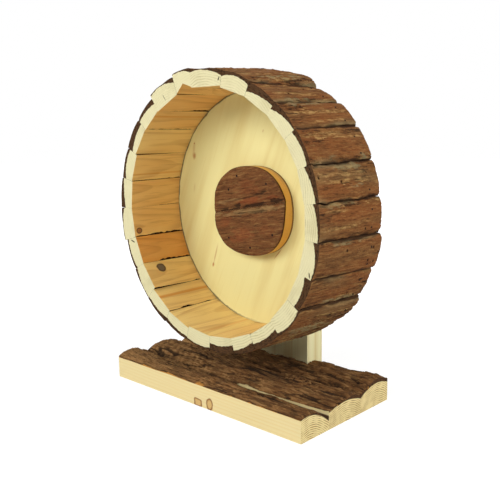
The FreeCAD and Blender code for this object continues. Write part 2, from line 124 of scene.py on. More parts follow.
# How far the sawn face leans into the drum at the front, in millimetres, and how far behind it the lean
# ends, in metres
STAVE_LEAN = {
    25: 1.8, 1: 3.0, 2: 3.3, 3: 3.0, 4: 2.6, 5: 3.2, 6: 3.0, 7: 2.8, 8: 2.4, 9: 2.0, 10: 0.8, 11: 1.2,
    12: 1.0, 13: 0.8, 14: -1.4, 15: -0.4, 16: 2.6, 17: 3.0, 18: 2.7, 19: 2.7, 20: 1.6, 21: -0.2, 22: 0.2,
    23: 1.4,
}
LEAN_REACH = 0.07

# How much thicker the bark grows towards the back, in millimetres, and how far behind the front it is full,
# in metres
BARK_SWELL = {
    25: 3.4, 1: 4.6, 2: 2.3, 3: 3.2, 4: 2.0, 5: 1.4, 6: 2.8, 7: 4.1, 8: 2.1, 9: 3.6, 10: 3.2, 24: 0.5,
    23: 0.5,
}
PLAIN_SWELL = 2.0
SWELL_REACH = 0.075

# Bark that rounds down to a thin neighbour, at the stave's end seam, in millimetres
BARK_ROUNDING = {1: 0.5}

# How far a seam strays at the back of the drum, by the stave that starts there, in degrees
SEAM_DRIFT = {2: 3.3, 4: -1.2}

# Rough, flaking places in the bark, by stave: from and to in millimetres behind the front, and their middle
# and half width as shares of the stave's half width; the rest is less rough, apart from the seams
ROUGH_BARK = {
    1: ((5, 95, 0.7, 0.5),), 2: ((0, 60, -0.7, 0.4), (20, 90, 0.8, 0.4)),
    3: ((0, 40, -0.5, 0.5), (20, 90, -0.1, 0.25)),
    4: ((0, 40, -0.5, 0.7), (30, 90, -0.75, 0.3), (0, 95, 0.9, 0.25)),
    5: ((0, 95, -0.5, 0.6), (30, 90, 0.1, 0.3)), 6: ((0, 95, -0.85, 0.35), (0, 60, 0.36, 0.1)),
    7: ((15, 70, -0.9, 0.2),), 8: ((0, 95, 0.8, 0.3), (70, 95, -0.2, 0.5)),
    9: ((20, 95, 0.1, 0.7),), 10: ((0, 95, 0.0, 1.0),), 25: ((0, 95, 0.0, 0.7),),
}
LEAST_ROUGH = 0.15
SEAM_ROUGH = 0.6

# The slim stave's sawn face is hollowed like a gutter in front of the disc, by this many millimetres; the
# hollow runs out between these distances behind the front, in metres
STAVE_HOLLOW = {24: 7.0}
HOLLOW_END = (0.012, 0.066)

# Knots on sawn stave faces: millimetres behind the front, share of the half width, radius and greyness; and
# how much longer than wide they are
STAVE_KNOTS = {16: (22.3, 0.46, 5.0, 1.0), 18: (7.0, -0.58, 3.3, 0.0)}
KNOT_LENGTH = 1.15

# Ragged seams in the drum, by the stave that starts there: from and to in millimetres behind the
# front, and how far the stave's edge is eaten away there
RAGGED_SEAMS = {
    15: ((17, 34, 2.0), (46, 64, 1.2)), 16: ((2, 8, 0.6), (60, 70, 1.6)), 17: ((24, 72, 2.4),),
    18: ((1, 90, 1.6), (22, 68, 1.2)), 19: ((40, 72, 0.5),), 20: ((1, 72, 0.6), (52, 72, 0.6)),
    22: ((3, 66, 1.4),), 23: ((2, 74, 1.4), (44, 76, 1.6)), 24: ((3, 60, 0.8),),
}

# Pits in the bark, by stave: millimetres behind the front and share of the half width; their depth, and the
# distances from their middle between which they rise, in metres
BARK_PITS = {
    2: ((30, 0.3), (61, -0.4)), 5: ((5.5, -0.24), (36.5, 0.04)), 6: ((67, 0.62),),
    7: ((40, -0.4), (80, -0.34), (90, 0.0), (75, 0.36), (85.5, 0.5)), 8: ((64, 0.4),), 9: ((55, -0.2),),
    12: ((40, 0.2),), 20: ((35, 0.1), (70, -0.5)),
}
PIT_DEPTH = 0.0012
PIT_SIDE = (0.0005, 0.0016)

# Weathered patches in the bark, by stave, in the same terms as the rough places
GREY_PATCHES = {
    2: ((8, 50, 0.9, 0.25),), 3: ((15, 62, -0.85, 0.25),), 4: ((30, 38, 0.9, 0.3), (75, 85, 0.85, 0.3)),
    5: ((28, 70, -0.8, 0.3), (50, 66, 0.3, 0.12)), 6: ((12, 30, -0.8, 0.22), (32, 54, -0.95, 0.2)),
    7: ((20, 45, -0.85, 0.15), (55, 62, -0.9, 0.15)), 8: ((30, 80, 0.75, 0.2),), 1: ((20, 75, 0.5, 0.2),),
    # on staves 9 and 10, low on the drum, the patches are partly weathering, partly painted light lightening
    # bark that the lamps reach less
    9: ((5, 60, 0.6, 0.2),), 10: ((20, 90, -0.7, 0.2),),
}

# Torn pale streaks in the bark, by stave, in the same terms
TAN_STREAKS = {
    3: ((6, 88, -0.04, 0.14), (30, 80, 0.62, 0.1)), 4: ((4, 60, -0.55, 0.16), (40, 86, -0.3, 0.08)),
    5: ((2, 70, -0.34, 0.12), (10, 84, 0.0, 0.12)), 6: ((2, 60, 0.36, 0.12), (12, 40, -0.5, 0.1)),
    2: ((10, 70, 0.3, 0.14), (30, 90, -0.5, 0.1)), 1: ((5, 80, 0.1, 0.14), (20, 60, 0.7, 0.1)),
    # on staves 9 and 10 the streaks are partly torn bark, partly painted light lightening the low bark
    9: ((20, 80, 0.2, 0.16), (8, 50, 0.6, 0.1), (30, 92, -0.35, 0.1)), 8: ((50, 86, 0.5, 0.08),),
    10: ((10, 80, 0.0, 0.2), (5, 90, 0.5, 0.14), (20, 90, -0.5, 0.12)),
    25: ((10, 70, 0.2, 0.14),),
}

# How far a seam wanders on the bark side, by the stave that starts there, in millimetres
SEAM_WANDER = {2: 0.8, 3: 1.0, 4: 0.4, 5: 1.6, 6: 2.4, 7: 0.5, 8: 0.4, 9: 0.5, 10: 0.4}
PLAIN_WANDER = 0.5

# Hub cover, in millimetres: middle from the axle, half width and half height of its oval outline, how square
# the oval is (2 is a plain one), turn of its joint in degrees, the joint's height over the middle, each
# half's crown and how far it falls away, and the places of its brads across and over the axle
HUB_MIDDLE = (0.1, -2.1)
HUB_OVAL = (51.3, 47.1)
HUB_SQUARENESS = 2.25
HUB_TURN = 9.5
HUB_JOINT = 3.7
HUB_CROWNS = {"upper": (-0.6, 1.7), "lower": (-2.4, 3.2)}
HUB_BRADS = ((-14.6, 34.5), (26.3, 27.6), (-27.4, 19.4), (35.8, -24.0), (3.8, -40.3), (-27.3, -32.9))
# Blotches on its bark, in millimetres along and over the joint: place, half width, half height, strength
HUB_DARK = (
    (0, 0.7, 52, 0.8, 0.9), (12, 2.2, 24, 1.8, 1.0), (38, 3.2, 15, 2.2, 1.0), (-14, 3.2, 6, 2.8, 0.9),
    (18, 12.2, 10, 1.2, 0.9), (27, 14.0, 6, 1.0, 0.9), (-30, 3.0, 20, 1.0, 0.7), (-4, -7.4, 48, 0.6, 0.8),
    (30, 5.5, 12, 0.8, 0.8), (-22, 1.2, 24, 1.1, 1.0), (-8, 9.6, 10, 0.6, 0.7), (5, 10.9, 9, 0.8, 0.8),
    (-2, -4.6, 30, 0.4, 0.7), (22, -5.6, 26, 0.5, 0.7), (-34, -9.5, 14, 0.5, 0.6),
)
HUB_TAN = (
    (0, -3.4, 56, 3.4, 0.9), (-30, 10.5, 20, 1.8, 0.6), (10, -3.2, 16, 2.6, 0.9), (30, -5.0, 18, 2.0, 0.7),
)
HUB_RED = (
    (6, 6.5, 18, 4.0, 0.6), (32, 7.0, 14, 3.4, 0.4), (-12, -28, 20, 8, 0.4), (-34, -12, 12, 7, 0.3),
    (4, 21, 16, 8, 0.25), (24, -24, 12, 8, 0.2),
)

# Brown marks in the disc's face, in millimetres across and over the axle: place, half width, half height,
# lean to the right in degrees, strength; and the lean of the disc's grain
DISC_MARKS = (
    (-96.0, 54.1, 3.6, 5.0, 8, 0.8), (-96.0, 63.0, 2.6, 9.0, 8, 0.3), (-95.4, 68.2, 1.2, 1.2, 0, 1.0),
    (-64.2, -56.7, 1.4, 15.0, 18, 0.5), (-68.3, -69.0, 2.0, 3.6, 18, 0.9), (29.4, -46.4, 0.9, 10.0, 42, 0.8),
    (10.4, 80.9, 1.0, 2.0, 20, 0.4), (-97.0, 18.0, 2.0, 7.0, 10, 0.2),
)
DISC_GRAIN_LEAN = 24

# Slabs of the base, in millimetres: the log's core behind the slab's front and over the floor; height of the
# bark at the front edge, half way back and at the back edge, at the left and the right end and, where it
# isn't even, in the middle; its thickness at the ends; the knots on the front edge as place along the slab,
# height, half width, half height and squareness; a chip in the front edge's bark as place and half width;
# bare wood along the front edge, from and to along the slab and its width at either end; and a knot that
# the bark swirls round, as place along, place across and radius
SLABS = {
    "base_slab_front": {
        "core": (13.0, -17.0), "left": (25.2, 29.4, 22.0), "right": (22.7, 23.6, 10.6),
        "bark_left": (2.4, 3.2, 3.0), "bark_right": (1.1, 2.6, 2.2),
        "knots": ((-1.0, 3.8, 5.2, 3.8, 7), (16.2, 5.8, 4.6, 6.0, 2)), "chip": (0.0, 8.0),
        "middle": (24.0, 24.2, 13.0)},
    "base_slab_middle": {
        "core": (26.5, -29.0), "left": (22.0, 28.9, 20.8), "right": (17.5, 23.2, 20.4),
        "bark_left": (3.0, 3.2, 3.0), "bark_right": (1.5, 2.6, 4.8), "knots": (),
        "bare": (16.0, 136.0, 0.4, 0.5), "middle": (15.4, 25.4, 20.6), "swirl": (71.0, 10.5, 14.0)},
    "base_slab_back": {
        "core": (26.0, -17.5), "left": (19.7, 27.4, 21.6), "right": (19.7, 27.9, 23.4),
        "bark_left": (4.2, 4.2, 4.2), "bark_right": (4.4, 4.3, 4.4), "knots": ()},
}

# Bark reliefs: cycles per metre along and across the log, depths in metres
BARKS = {
    "drum": {
        "sway": 0.0012, "swell": (13, 34, 0.0005), "plate": (13, 125), "layers": 4, "step": 0.00042,
        "slit": (11, 290, 0.0010), "fibre": (30, 420, 0.00034), "lumps": (150, 220, 0.00018),
    },
    "hub": {
        "sway": 0.0020, "swell": (20, 40, 0.0004), "plate": (14, 120), "layers": 3, "step": 0.00035,
        "slit": (13, 270, 0.0009), "fibre": (34, 420, 0.00028), "lumps": (170, 240, 0.00014),
    },
    "base": {
        "sway": 0.0045, "swell": (9, 30, 0.0012), "plate": (19, 88), "layers": 5, "step": 0.00085,
        "slit": (17, 190, 0.0018), "fibre": (44, 320, 0.0006), "lumps": (90, 160, 0.0005),
    },
}

# Where finishes change, each from the start to the end of a soft step in metres. In a slab's log, across and
# up from its core: painted shade low on the walls between the slabs, and the golden front edge of the base's
# bark
# painted shade low on the walls in the seams between the slabs
SEAM_SHADE_ACROSS = (-0.024, -0.020)
SEAM_SHADE_UP = (0.0424, 0.0436)
GOLDEN_START = (-0.0140, -0.0134)
GOLDEN_END = (-0.0129, -0.0125)
# On the hub cover's edge, over the joint and in the log's depth, which has this value at the cover's back
HUB_LOG_DEPTH = 0.05
EDGE_TAN_OVER = (0.008, 0.026)
EDGE_TAN_DEPTH = (0.0438, 0.0446)
# the dark foot of the edge at the cover's back is a painted contact shadow against the disc
EDGE_SHADOW_DEPTH = (0.0472, 0.0481)
# Painted shade of the gap between the disc's rim and the staves, from the axle, and how far across it runs
DISC_GAP_SHADE = (0.1230, 0.1243)
DISC_GAP_SHADE_ACROSS = (-0.06, 0.02)
# Where the floor fades to plain white, measured from below the axle
FLOOR_FADE = (0.15, 0.5)

# Clearances in metres: staves over the disc, hub halves off their joint, the notch round the upright
DISC_SEAT = 0.1 * MM
JOINT_GAP = 0.03 * MM
NOTCH_ROOM = 0.3 * MM

# Small reliefs in metres: waves in the wood under the bark, bites out of the bark along the seams, how far
# weathered bark and bare wood stand up, how deep dark blotches, the hub's joint and a chip lie, the waves and
# the rise of bark that is drawn round a knot, and the least bark on the slabs
STAVE_WAVE = 0.0006
HUB_WAVE = 0.0004
SLAB_WAVE = 0.0005
SEAM_BITE = 0.0008
GREY_RISE = 0.0005
BARE_RISE = 0.0008
BLOTCH_DEPTH = 0.0012
JOINT_DEPTH = 0.0006
CHIP_DEPTH = 0.0035
SWIRL_WAVE = 0.0007
SWIRL_RISE = 0.0016
SLAB_LEAST_BARK = 0.3 * MM

# Widths in metres of the strips beside an edge in which bark is flatter, worn or darker; round the hub
# cover's rim the darkening is painted shade where its bark rounds down
STAVE_FRONT_FLAT = 0.006
STAVE_BACK_WORN = 0.004
HUB_RIM_WORN = 0.003
HUB_RIM_SHADE = 0.006
HUB_JOINT_DARK = 0.0025
SLAB_EDGE_WORN = 0.005
SLAB_END_FLAT = 0.007
SLAB_SIDE_DARK = 0.004

# Search for the hub cover's outline: how far out in metres and how often the distance is halved; and the
# height over the joint at which the crown ends
OUTLINE_REACH = 0.07
HALVINGS = 24
CROWN_HEIGHT = 0.05

# Each stave comes from another stretch of log, this far on in metres, with its pith this much aside at most
LOG_SPACING = 0.41
PITH_WANDER = 0.012

# Brads: sides of a head, how much larger those in the hub cover are, and in metres how far below its solid's
# top a shank ends, the most that a hub brad spreads away from the axle and how far out bark is looked for
HEAD_SIDES = 10
HUB_HEAD_SHARE = 1.3
SHANK = 3 * MM
HUB_BRAD_SPREAD = 5 * MM
BARK_SEARCH = 0.06

# Lamps: place and width in metres, and the setting that gives their power; all aim at one point
LAMPS = {
    "key_lamp": ((-0.75, -1.70, 1.02), 1.1, "key_power"),
    "front_lamp": ((0.70, -1.78, 1.12), 0.8, "front_power"),
    "fill_lamp": ((1.75, 0.25, 0.95), 1.2, "fill_power"),
    "top_lamp": ((-0.50, 0.10, 2.00), 1.4, "top_power"),
}
LAMP_AIM = Vector((0, 0, 0.17))
WHITE = (1, 1, 1, 1)
FLOOR_GREY = (0.70, 0.70, 0.68, 1)
FLOOR_LIGHT = 1.3

# Layers of a block: its underside, the line where bark meets wood, and the bark; then its sides, in the order
# in which their finishes are listed
UNDERSIDE, BARK_LINE, BARK_FACE = range(3)
BELOW, END, WALL, BARK, CUT_EDGE = range(5)


def tint(red, green, blue):
    """A colour as a painter's chart gives it, 0 to 255, in the renderer's linear values."""
    shares = [channel / 255 for channel in (red, green, blue)]
    return tuple(share / 12.92 if share < 0.04045 else ((share + 0.055) / 1.055) ** 2.4 for share in shares)


def colour(name, description, red, green, blue):
    """A colour setting."""
    return FloatVectorProperty(
        name=name, description=description, subtype="COLOR", size=3, min=0, max=1,
        default=tint(red, green, blue))


def length(name, description, default):
    """A length setting, in metres."""
    return FloatProperty(
        name=name, description=description, default=default, unit="LENGTH", subtype="DISTANCE")


def face_count(name, description, default):
    """A setting for a number of faces."""
    return IntProperty(name=name, description=description, default=default, min=8)


def lamp_power(name, description, default):
    """A lamp's power setting."""
    return FloatProperty(name=name, description=description, default=default, unit="POWER")


def camera_angle(name, description, degrees):
    """An angle setting."""
    return FloatProperty(name=name, description=description, subtype="ANGLE", default=math.radians(degrees))


class StaveSettings(bpy.types.PropertyGroup):
    """Sizes of the drum's staves."""
    across_steps: face_count("Steps across", "Faces across one stave's bark", 56)
    along_steps: face_count("Steps along", "Faces along one stave's bark", 92)
    bark_fall: length("Bark fall", "How far the bark drops from its crest to the seams", 0.0009)
    least_bark: length("Least bark", "Bark left where the pale wood comes closest", 0.0011)
    seam_fall: length("Seam fall", "How far the bark is broken away along the seams", 0.0017)
    edge_wear: length("Edge wear", "How far the bark is worn down at its back rim", 0.0004)
    back_reach: length("Back reach", "How far the bark ends reach past the sawn staves' back", 0.0014)
    end_wander: length("End wander", "How much the staves' ends differ in length", 0.0006)
    seam: length("Seam", "Gap at each side of a stave", 0.00004)
    pith_depth: length("Pith depth", "Distance from a stave's sawn face to its log's pith", 0.045)


class SlabSettings(bpy.types.PropertyGroup):
    """Sizes of the base's slabs."""
    step: length("Step", "Face size on the slabs' bark", 0.0009)
    edge_wear: length("Edge wear", "How far the bark is worn down at its edges", 0.0016)
    sink: length("Countersink", "Deepest countersink shown in the underside", 0.0022)


class HubSettings(bpy.types.PropertyGroup):
    """Sizes of the hub cover."""
    across_steps: face_count("Steps across", "Faces across the cover", 96)
    up_steps: face_count("Steps up", "Faces from the joint to the top of one half", 44)
    bark: length("Bark", "Thickness of the bark on the cover", 0.0026)
    edge_wear: length("Edge wear", "How far the bark is worn down at its outline", 0.0005)


class BradSettings(bpy.types.PropertyGroup):
    """Sizes of the brad heads."""
    head_radius: length("Head radius", "Radius of a brad's set head", 0.0010)
    proud: length("Proud", "How far a head stands over the bark", 0.00025)


class FinishSettings(bpy.types.PropertyGroup):
    """Colours of the wood, bark and metal."""
    tan_pine: colour("Tan pine", "Palest sawn stave face", 244, 212, 134)
    orange_pine: colour("Orange pine", "Warmest sawn stave face", 222, 154, 68)
    late_pine: colour("Late wood", "Dark line of a growth ring on sawn faces", 170, 108, 46)
    end_pine: colour("Stave end", "Sawn ends of the staves", 227, 218, 173)
    end_ring: colour("Stave ring", "Growth ring on a stave's end", 176, 162, 112)
    slab_pine: colour("Slab edge", "Sawn front edge of the base", 233, 214, 158)
    slab_late: colour("Slab grain", "Grain line on the base's sawn edge", 222, 186, 118)
    slab_end: colour("Slab end", "Sawn ends of the slabs", 238, 219, 158)
    slab_ring: colour("Slab ring", "Growth ring on a slab's end", 150, 112, 60)
    knot_brown: colour("Knot", "Heart of a brown knot", 140, 92, 44)
    knot_grey: colour("Grey knot", "Heart of a weathered knot", 112, 98, 76)
    disc_pale: colour("Plywood", "Face of the disc", 229, 220, 154)
    disc_grain: colour("Plywood grain", "Grain of the disc's face", 212, 192, 120)
    upright_pale: colour("Board", "Planed face of the upright", 247, 239, 188)
    upright_grain: colour("Board grain", "Grain line of the upright", 224, 202, 136)
    bark_brown: colour("Bark", "Middle brown of the drum's bark", 125, 84, 47)
    bark_red: colour("Red bark", "Fresh reddish bark", 135, 82, 43)
    bark_fresh: colour("Fresh bark", "Red inner bark", 152, 72, 40)
    bark_dark: colour("Dark bark", "Cracks and old bark", 42, 28, 17)
    bark_tan: colour("Tan bark", "Torn pale streaks in the bark", 186, 146, 88)
    bark_grey: colour("Grey bark", "Weathered patches by the seams", 152, 137, 96)
    bark_cut: colour("Cut bark", "Sawn edge of the bark", 84, 58, 36)
    base_brown: colour("Base bark", "Middle brown of the base's bark", 124, 85, 49)
    base_dark: colour("Base cracks", "Furrows of the base's bark", 34, 23, 14)
    base_light: colour("Base ridges", "Worn ridges of the base's bark", 187, 143, 90)
    hub_brown: colour("Hub bark", "Middle brown of the hub cover", 120, 77, 45)
    hub_edge: colour("Hub edge", "Sawn golden edge of the hub cover", 222, 178, 92)
    steel: colour("Zinc", "Bolt, nut and washers", 176, 178, 182)
    steel_dull: colour("Dull zinc", "Handled patches of bolt, nut and washers", 120, 122, 126)
    dark_steel: colour("Dark steel", "Brad heads", 46, 38, 32)
    dark_steel_dull: colour("Dull steel", "Handled patches of brad heads", 28, 22, 18)
    yellow_zinc: colour("Yellow zinc", "Wood screws", 196, 182, 138)
    yellow_zinc_dull: colour("Dull yellow zinc", "Handled patches of wood screws", 150, 132, 90)
    brass: colour("Brass", "Axle bush", 198, 164, 96)
    brass_dull: colour("Dull brass", "Handled patches of the axle bush", 140, 108, 58)


class StageSettings(bpy.types.PropertyGroup):
    """Camera, light and floor."""
    camera_place: FloatVectorProperty(
        name="Camera", description="Place of the camera", size=3, subtype="XYZ", unit="LENGTH", precision=5,
        default=(0.49738, -0.51304, 0.27176))
    yaw: camera_angle("Yaw", "Turn of the camera to the object's right", 43.3385)
    pitch: camera_angle("Pitch", "How far the camera looks down", 9.5124)
    roll: camera_angle("Roll", "Tilt of the camera", -0.7577)
    lens: FloatProperty(name="Lens", description="Focal length in millimetres", default=49.81)
    sensor: FloatProperty(name="Sensor", description="Width of the sensor in millimetres", default=36)
    floor_size: length("Floor", "Half the floor's width", 6.0)
    key_power: lamp_power("Key", "Soft lamp on the left", 22.8)
    front_power: lamp_power("Front", "Soft lamp in front", 14.6)
    top_power: lamp_power("Top", "Soft lamp overhead", 9)
    fill_power: lamp_power("Fill", "Soft lamp from the right", 25)
    sky: FloatProperty(name="Sky", description="Strength of the even light all round", default=0.05)
    floor_glow: FloatProperty(
        name="Floor white", description="Share of plain white in the floor as the camera sees it",
        default=0.66, subtype="FACTOR", min=0, max=1)


class Signal:
    """A shader socket that adds, multiplies and so on like a number."""

    def __init__(self, tree, socket=None):
        self.tree = tree
        self.socket = socket

    def node(self, kind, settings=None, inputs=None, output=0):
        """Adds a node: its settings first, then the values or links of its sockets."""
        added = self.tree.nodes.new(kind)
        for name, setting in (settings or {}).items():
            setattr(added, name, setting)
        for key, value in (inputs or {}).items():
            if isinstance(value, Signal):
                self.tree.links.new(value.socket, added.inputs[key])
            else:
                added.inputs[key].default_value = value
        return Signal(self.tree, added.outputs[output] if added.outputs else None)

    def twin(self, output):
        """Another output of the same node."""
        return Signal(self.tree, self.socket.node.outputs[output])

    def math(self, operation, *values):
        """Any sum of the Math node."""
        return self.node("ShaderNodeMath", {"operation": operation}, dict(enumerate(values)))

    def __add__(self, other):
        return self.math("ADD", self, other)

    def __sub__(self, other):
        return self.math("SUBTRACT", self, other)

    def __rsub__(self, other):
        return self.math("SUBTRACT", other, self)

    def __mul__(self, other):
        return self.math("MULTIPLY", self, other)

    def __truediv__(self, other):
        return self.math("DIVIDE", self, other)

    def __rtruediv__(self, other):
        return self.math("DIVIDE", other, self)

    def __pow__(self, other):
        return self.math("POWER", self, other)

    __radd__ = __add__
    __rmul__ = __mul__


def step_up(signal, low, high):
    """A soft step from 0 at low to 1 at high."""
    return signal.node(
        "ShaderNodeMapRange", {"interpolation_type": "SMOOTHSTEP"},
        {"Value": signal, "From Min": low, "From Max": high})


def mix(factor, first, second):
    """Mixes two colours, each a link or three numbers."""
    shades = [shade if isinstance(shade, Signal) else (*shade, 1) for shade in (first, second)]
    return factor.node(
        "ShaderNodeMix", {"data_type": "RGBA", "clamp_factor": True}, {0: factor, 6: shades[0], 7: shades[1]},
        output=2)


def stretch(vector, along, across, depth):
    """A place scaled along, across and into the wood."""
    return vector.node(
        "ShaderNodeVectorMath", {"operation": "MULTIPLY"}, {0: vector, 1: (along, across, depth)})


def cloud(vector, along, across, depth, detail, roughness=0.55):
    """Noise from 0 to 1, with its cycles per metre given along, across and into the wood."""
    place = stretch(vector, along, across, depth)
    return vector.node("ShaderNodeTexNoise", {}, {
        "Vector": place, "Scale": 1.0, "Detail": detail, "Roughness": roughness})


def parts(vector):
    """The three numbers of a vector."""
    first = vector.node("ShaderNodeSeparateXYZ", {}, {0: vector})
    return first, first.twin(1), first.twin(2)


def attribute(bench, name, output):
    """A value kept on the mesh: output 1 is its vector, 2 its number."""
    return bench.node("ShaderNodeAttribute", {"attribute_name": name}, output=output)


def log_space(bench):
    """Place in the log that a piece was sawn from: along it, across it and up from its pith."""
    return attribute(bench, "log", 1)


def bump(height, distance, strength):
    """A normal that shows a height from 0 to 1 as relief of a distance in metres."""
    return height.node("ShaderNodeBump", {}, {"Height": height, "Distance": distance, "Strength": strength})


def rings(log, pitch, wander=0.006):
    """Growth rings round the pith: 0 in early wood, up to 1 in the late wood's dark line."""
    _, across, depth = parts(log)
    drift = (cloud(log, 5, 26, 26, 2.0) - 0.5) * wander
    drift = drift + (cloud(log, 1.5, 70, 70, 2.0) - 0.5) * (wander * 0.3)
    turns = ((across * across + depth * depth) ** 0.5 + drift) / pitch
    turn = turns.math("FRACT", turns)
    return step_up(turn, 0.4, 0.92) * (1 - step_up(turn, 0.93, 1.0))


def knot_signal(bench, name):
    """Distance from a knot's heart in knot radii, and 1 where the piece has a knot at all."""
    across, up, squareness = parts(attribute(bench, name, 1))
    wobble = (cloud(log_space(bench), 90, 160, 160, 2.0) - 0.5) * 0.5
    power = squareness.math("MAXIMUM", squareness, 1.0)
    sides = [side.math("ABSOLUTE", side) ** power for side in (across, up)]
    return (sides[0] + sides[1]) ** (1 / power) + wobble, squareness.math("MINIMUM", squareness, 1.0)


def with_knot(bench, shade, heart, rim, name="knot"):
    """A face's colour with its knot: a dark rim round a ringed heart."""
    distance, there = knot_signal(bench, name)
    ripple = distance.math("SINE", distance * 22.0) * 0.5 + 0.5
    inside = mix(ripple * 0.35, heart, rim)
    inside = mix(step_up(distance, 0.62, 0.9), inside, rim)
    return mix((1 - step_up(distance, 0.95, 1.2)) * there, shade, inside)


def sawn_pine(bench, shades):
    """Sawn inner faces of the staves: golden pine with ring lines, fibres and a few knots."""
    log = log_space(bench)
    warmth = attribute(bench, "tone", 2)
    broad = cloud(log, 9, 45, 45, 2.0)
    fibre = cloud(log, 20, 520, 520, 4.0, 0.65)
    line = rings(log, 0.0024)
    shade = mix(warmth + (broad - 0.5) * 0.7, shades.tan_pine, shades.orange_pine)
    shade = mix(line * (0.05 + broad * 0.45), shade, shades.late_pine)
    shade = mix(step_up(fibre, 0.5, 0.75) * 0.4, shade, shades.late_pine)
    heart = mix(attribute(bench, "greyness", 2), shades.late_pine, shades.knot_grey)
    shade = with_knot(bench, shade, heart, shades.bark_cut)
    return {
        "Base Color": shade, "Roughness": 0.62 + fibre * 0.2,
        "Normal": bump(fibre + line * 0.6, 0.00025, 0.6)}


def end_shade(bench, pale, dark, pitch, plain):
    """A sawn end: growth rings, as plain as said, saw marks and open pores."""
    log = log_space(bench)
    line = rings(log, pitch, 0.007)
    broad = step_up(cloud(log, 3, 130, 130, 3.0), 0.3, 0.7)
    pores = cloud(log, 300, 1300, 1300, 2.0)
    blotch = cloud(log, 6, 40, 40, 2.0)
    shade = mix(line * (0.2 + broad * 0.9) * plain, pale, dark)
    shade = mix(step_up(pores, 0.55, 0.8) * 0.35, shade, dark)
    shade = mix(step_up(blotch, 0.5, 0.75) * 0.25, shade, dark)
    return {
        "Base Color": shade, "Roughness": 0.8, "Specular IOR Level": 0.25,
        "Normal": bump(pores - line * 0.5, 0.0003, 0.7)}


def stave_end(bench, shades):
    """Sawn ends of the staves."""
    finishes = end_shade(bench, shades.end_pine, shades.end_ring, 0.0024, attribute(bench, "ringing", 2))
    distance, there = knot_signal(bench, "second_knot")
    crack = (1 - step_up(distance, 0.6, 1.1)) * there
    finishes["Base Color"] = mix(crack * 0.9, finishes["Base Color"], shades.bark_dark)
    return finishes


def slab_end(bench, shades):
    """Sawn ends of the base's slabs."""
    return end_shade(bench, shades.slab_end, shades.slab_ring, 0.0019, 1.25)


def seam_wood(bench, shades):
    """Sides of the staves in the seams: dark, waney wood with bark left on it, and darker still as painted
    shade for the depth of the narrow seams.
    """
    log = log_space(bench)
    streak = cloud(log, 30, 400, 400, 3.0)
    shade = mix(step_up(streak, 0.4, 0.75), shades.base_dark, shades.bark_dark)
    return {
        "Base Color": shade, "Roughness": 0.9, "Specular IOR Level": 0.1,
        "Normal": bump(streak, 0.0004, 0.6)}


def slab_edge(bench, shades):
    """Sawn long edges of the base: pale pine with fine lines, two knots, and painted shade low in the seams
    between the slabs.
    """
    log = log_space(bench)
    broad = cloud(log, 6, 40, 60, 2.0)
    fibre = cloud(log, 18, 700, 700, 3.0)
    line = rings(log, 0.0034, 0.008)
    shade = mix(line * (broad * 0.5), shades.slab_pine, shades.slab_late)
    shade = mix(step_up(fibre, 0.5, 0.85) * 0.3, shade, shades.slab_late)
    for name in ("knot", "second_knot"):
        shade = with_knot(bench, shade, shades.slab_late, shades.knot_brown, name)
    _, across, depth = parts(log)
    # painted shade: the walls darken low down in the seams between the slabs, where shade falls
    painted_seam_shade = (1 - step_up(across, *SEAM_SHADE_ACROSS)) * (1 - step_up(depth, *SEAM_SHADE_UP))
    return {
        "Base Color": mix(painted_seam_shade, shade, shades.bark_cut), "Roughness": 0.68 + fibre * 0.15,
        "Normal": bump(fibre + line * 0.5, 0.0002, 0.6)}


def bark_shade(bench, brown, red, dark, tan, grey, fresh, run=1.0, speckle=0.5, depth=0.0014, chunky=0.0):
    """Bark: streaked brown, reddish where fresh, torn tan streaks, weathered grey and dark cracks; the grey
    also carries painted light where a piece passes it in, and the cracks painted shade at the hub cover's
    rim.

    A longer run draws its streaks out along the log, depth is how far its fine grain stands out and
    chunky how much it is broken up across the grain.
    """
    log = stretch(log_space(bench), 1 / run, 1, 1)
    crack, weathered_and_lit, torn = parts(attribute(bench, "bark", 1))
    rough = attribute(bench, "rough", 2)
    patch = cloud(log, 9, 60, 60, 3.0)
    streak = cloud(log, 22, 330, 330, 4.0, 0.65)
    hair = cloud(log, 75, 600, 600, 3.0, 0.7)
    flake = cloud(log, 55, 240, 240, 3.0, 0.6)
    grit = cloud(log, 300, 600, 600, 3.0, 0.7)
    shade = mix(step_up(patch, 0.35, 0.65), brown, red)
    shade = mix(step_up(streak, 0.5, 0.7) * (0.2 + rough * 0.3), shade, dark)
    shade = mix(step_up(1 - streak, 0.54, 0.72) * (0.10 + rough * 0.35), shade, tan)
    shade = mix(step_up(hair, 0.50, 0.68) * 0.6, shade, dark)
    shade = mix(step_up(1 - hair, 0.54, 0.72) * 0.35, shade, tan)
    shade = mix(step_up(flake, 0.56, 0.61) * rough * 0.8, shade, dark)
    shade = mix(step_up(1 - flake, 0.57, 0.62) * rough * 0.75, shade, tan)
    if chunky:
        chunk = cloud(log, 60, 300, 300, 4.0, 0.6)
        shade = mix(step_up(chunk, 0.53, 0.61) * chunky, shade, dark)
        shade = mix(step_up(1 - chunk, 0.56, 0.66) * chunky * 0.7, shade, tan)
    shade = mix(attribute(bench, "ruddy", 2) * (1.1 - hair * 0.8), shade, fresh)
    shade = mix(torn * (1 - step_up(hair, 0.35, 0.7)) * 0.9, shade, tan)
    # the weathered value is partly painted light: paler bark where a piece stands it in for light falling on
    # it
    shade = mix(weathered_and_lit * (0.45 + (1 - hair) * 0.5), shade, grey)
    shade = mix(step_up(grit, 0.54, 0.8) * speckle, shade, dark)
    shade = mix(step_up(crack, 0.2, 0.95) * 0.85, shade, dark)
    return {
        "Base Color": shade, "Roughness": 0.82 + grit * 0.15, "Specular IOR Level": 0.12,
        "Normal": bump(streak * 0.7 + flake * rough + hair * 1.1 + grit * 1.1, depth, 0.9)}


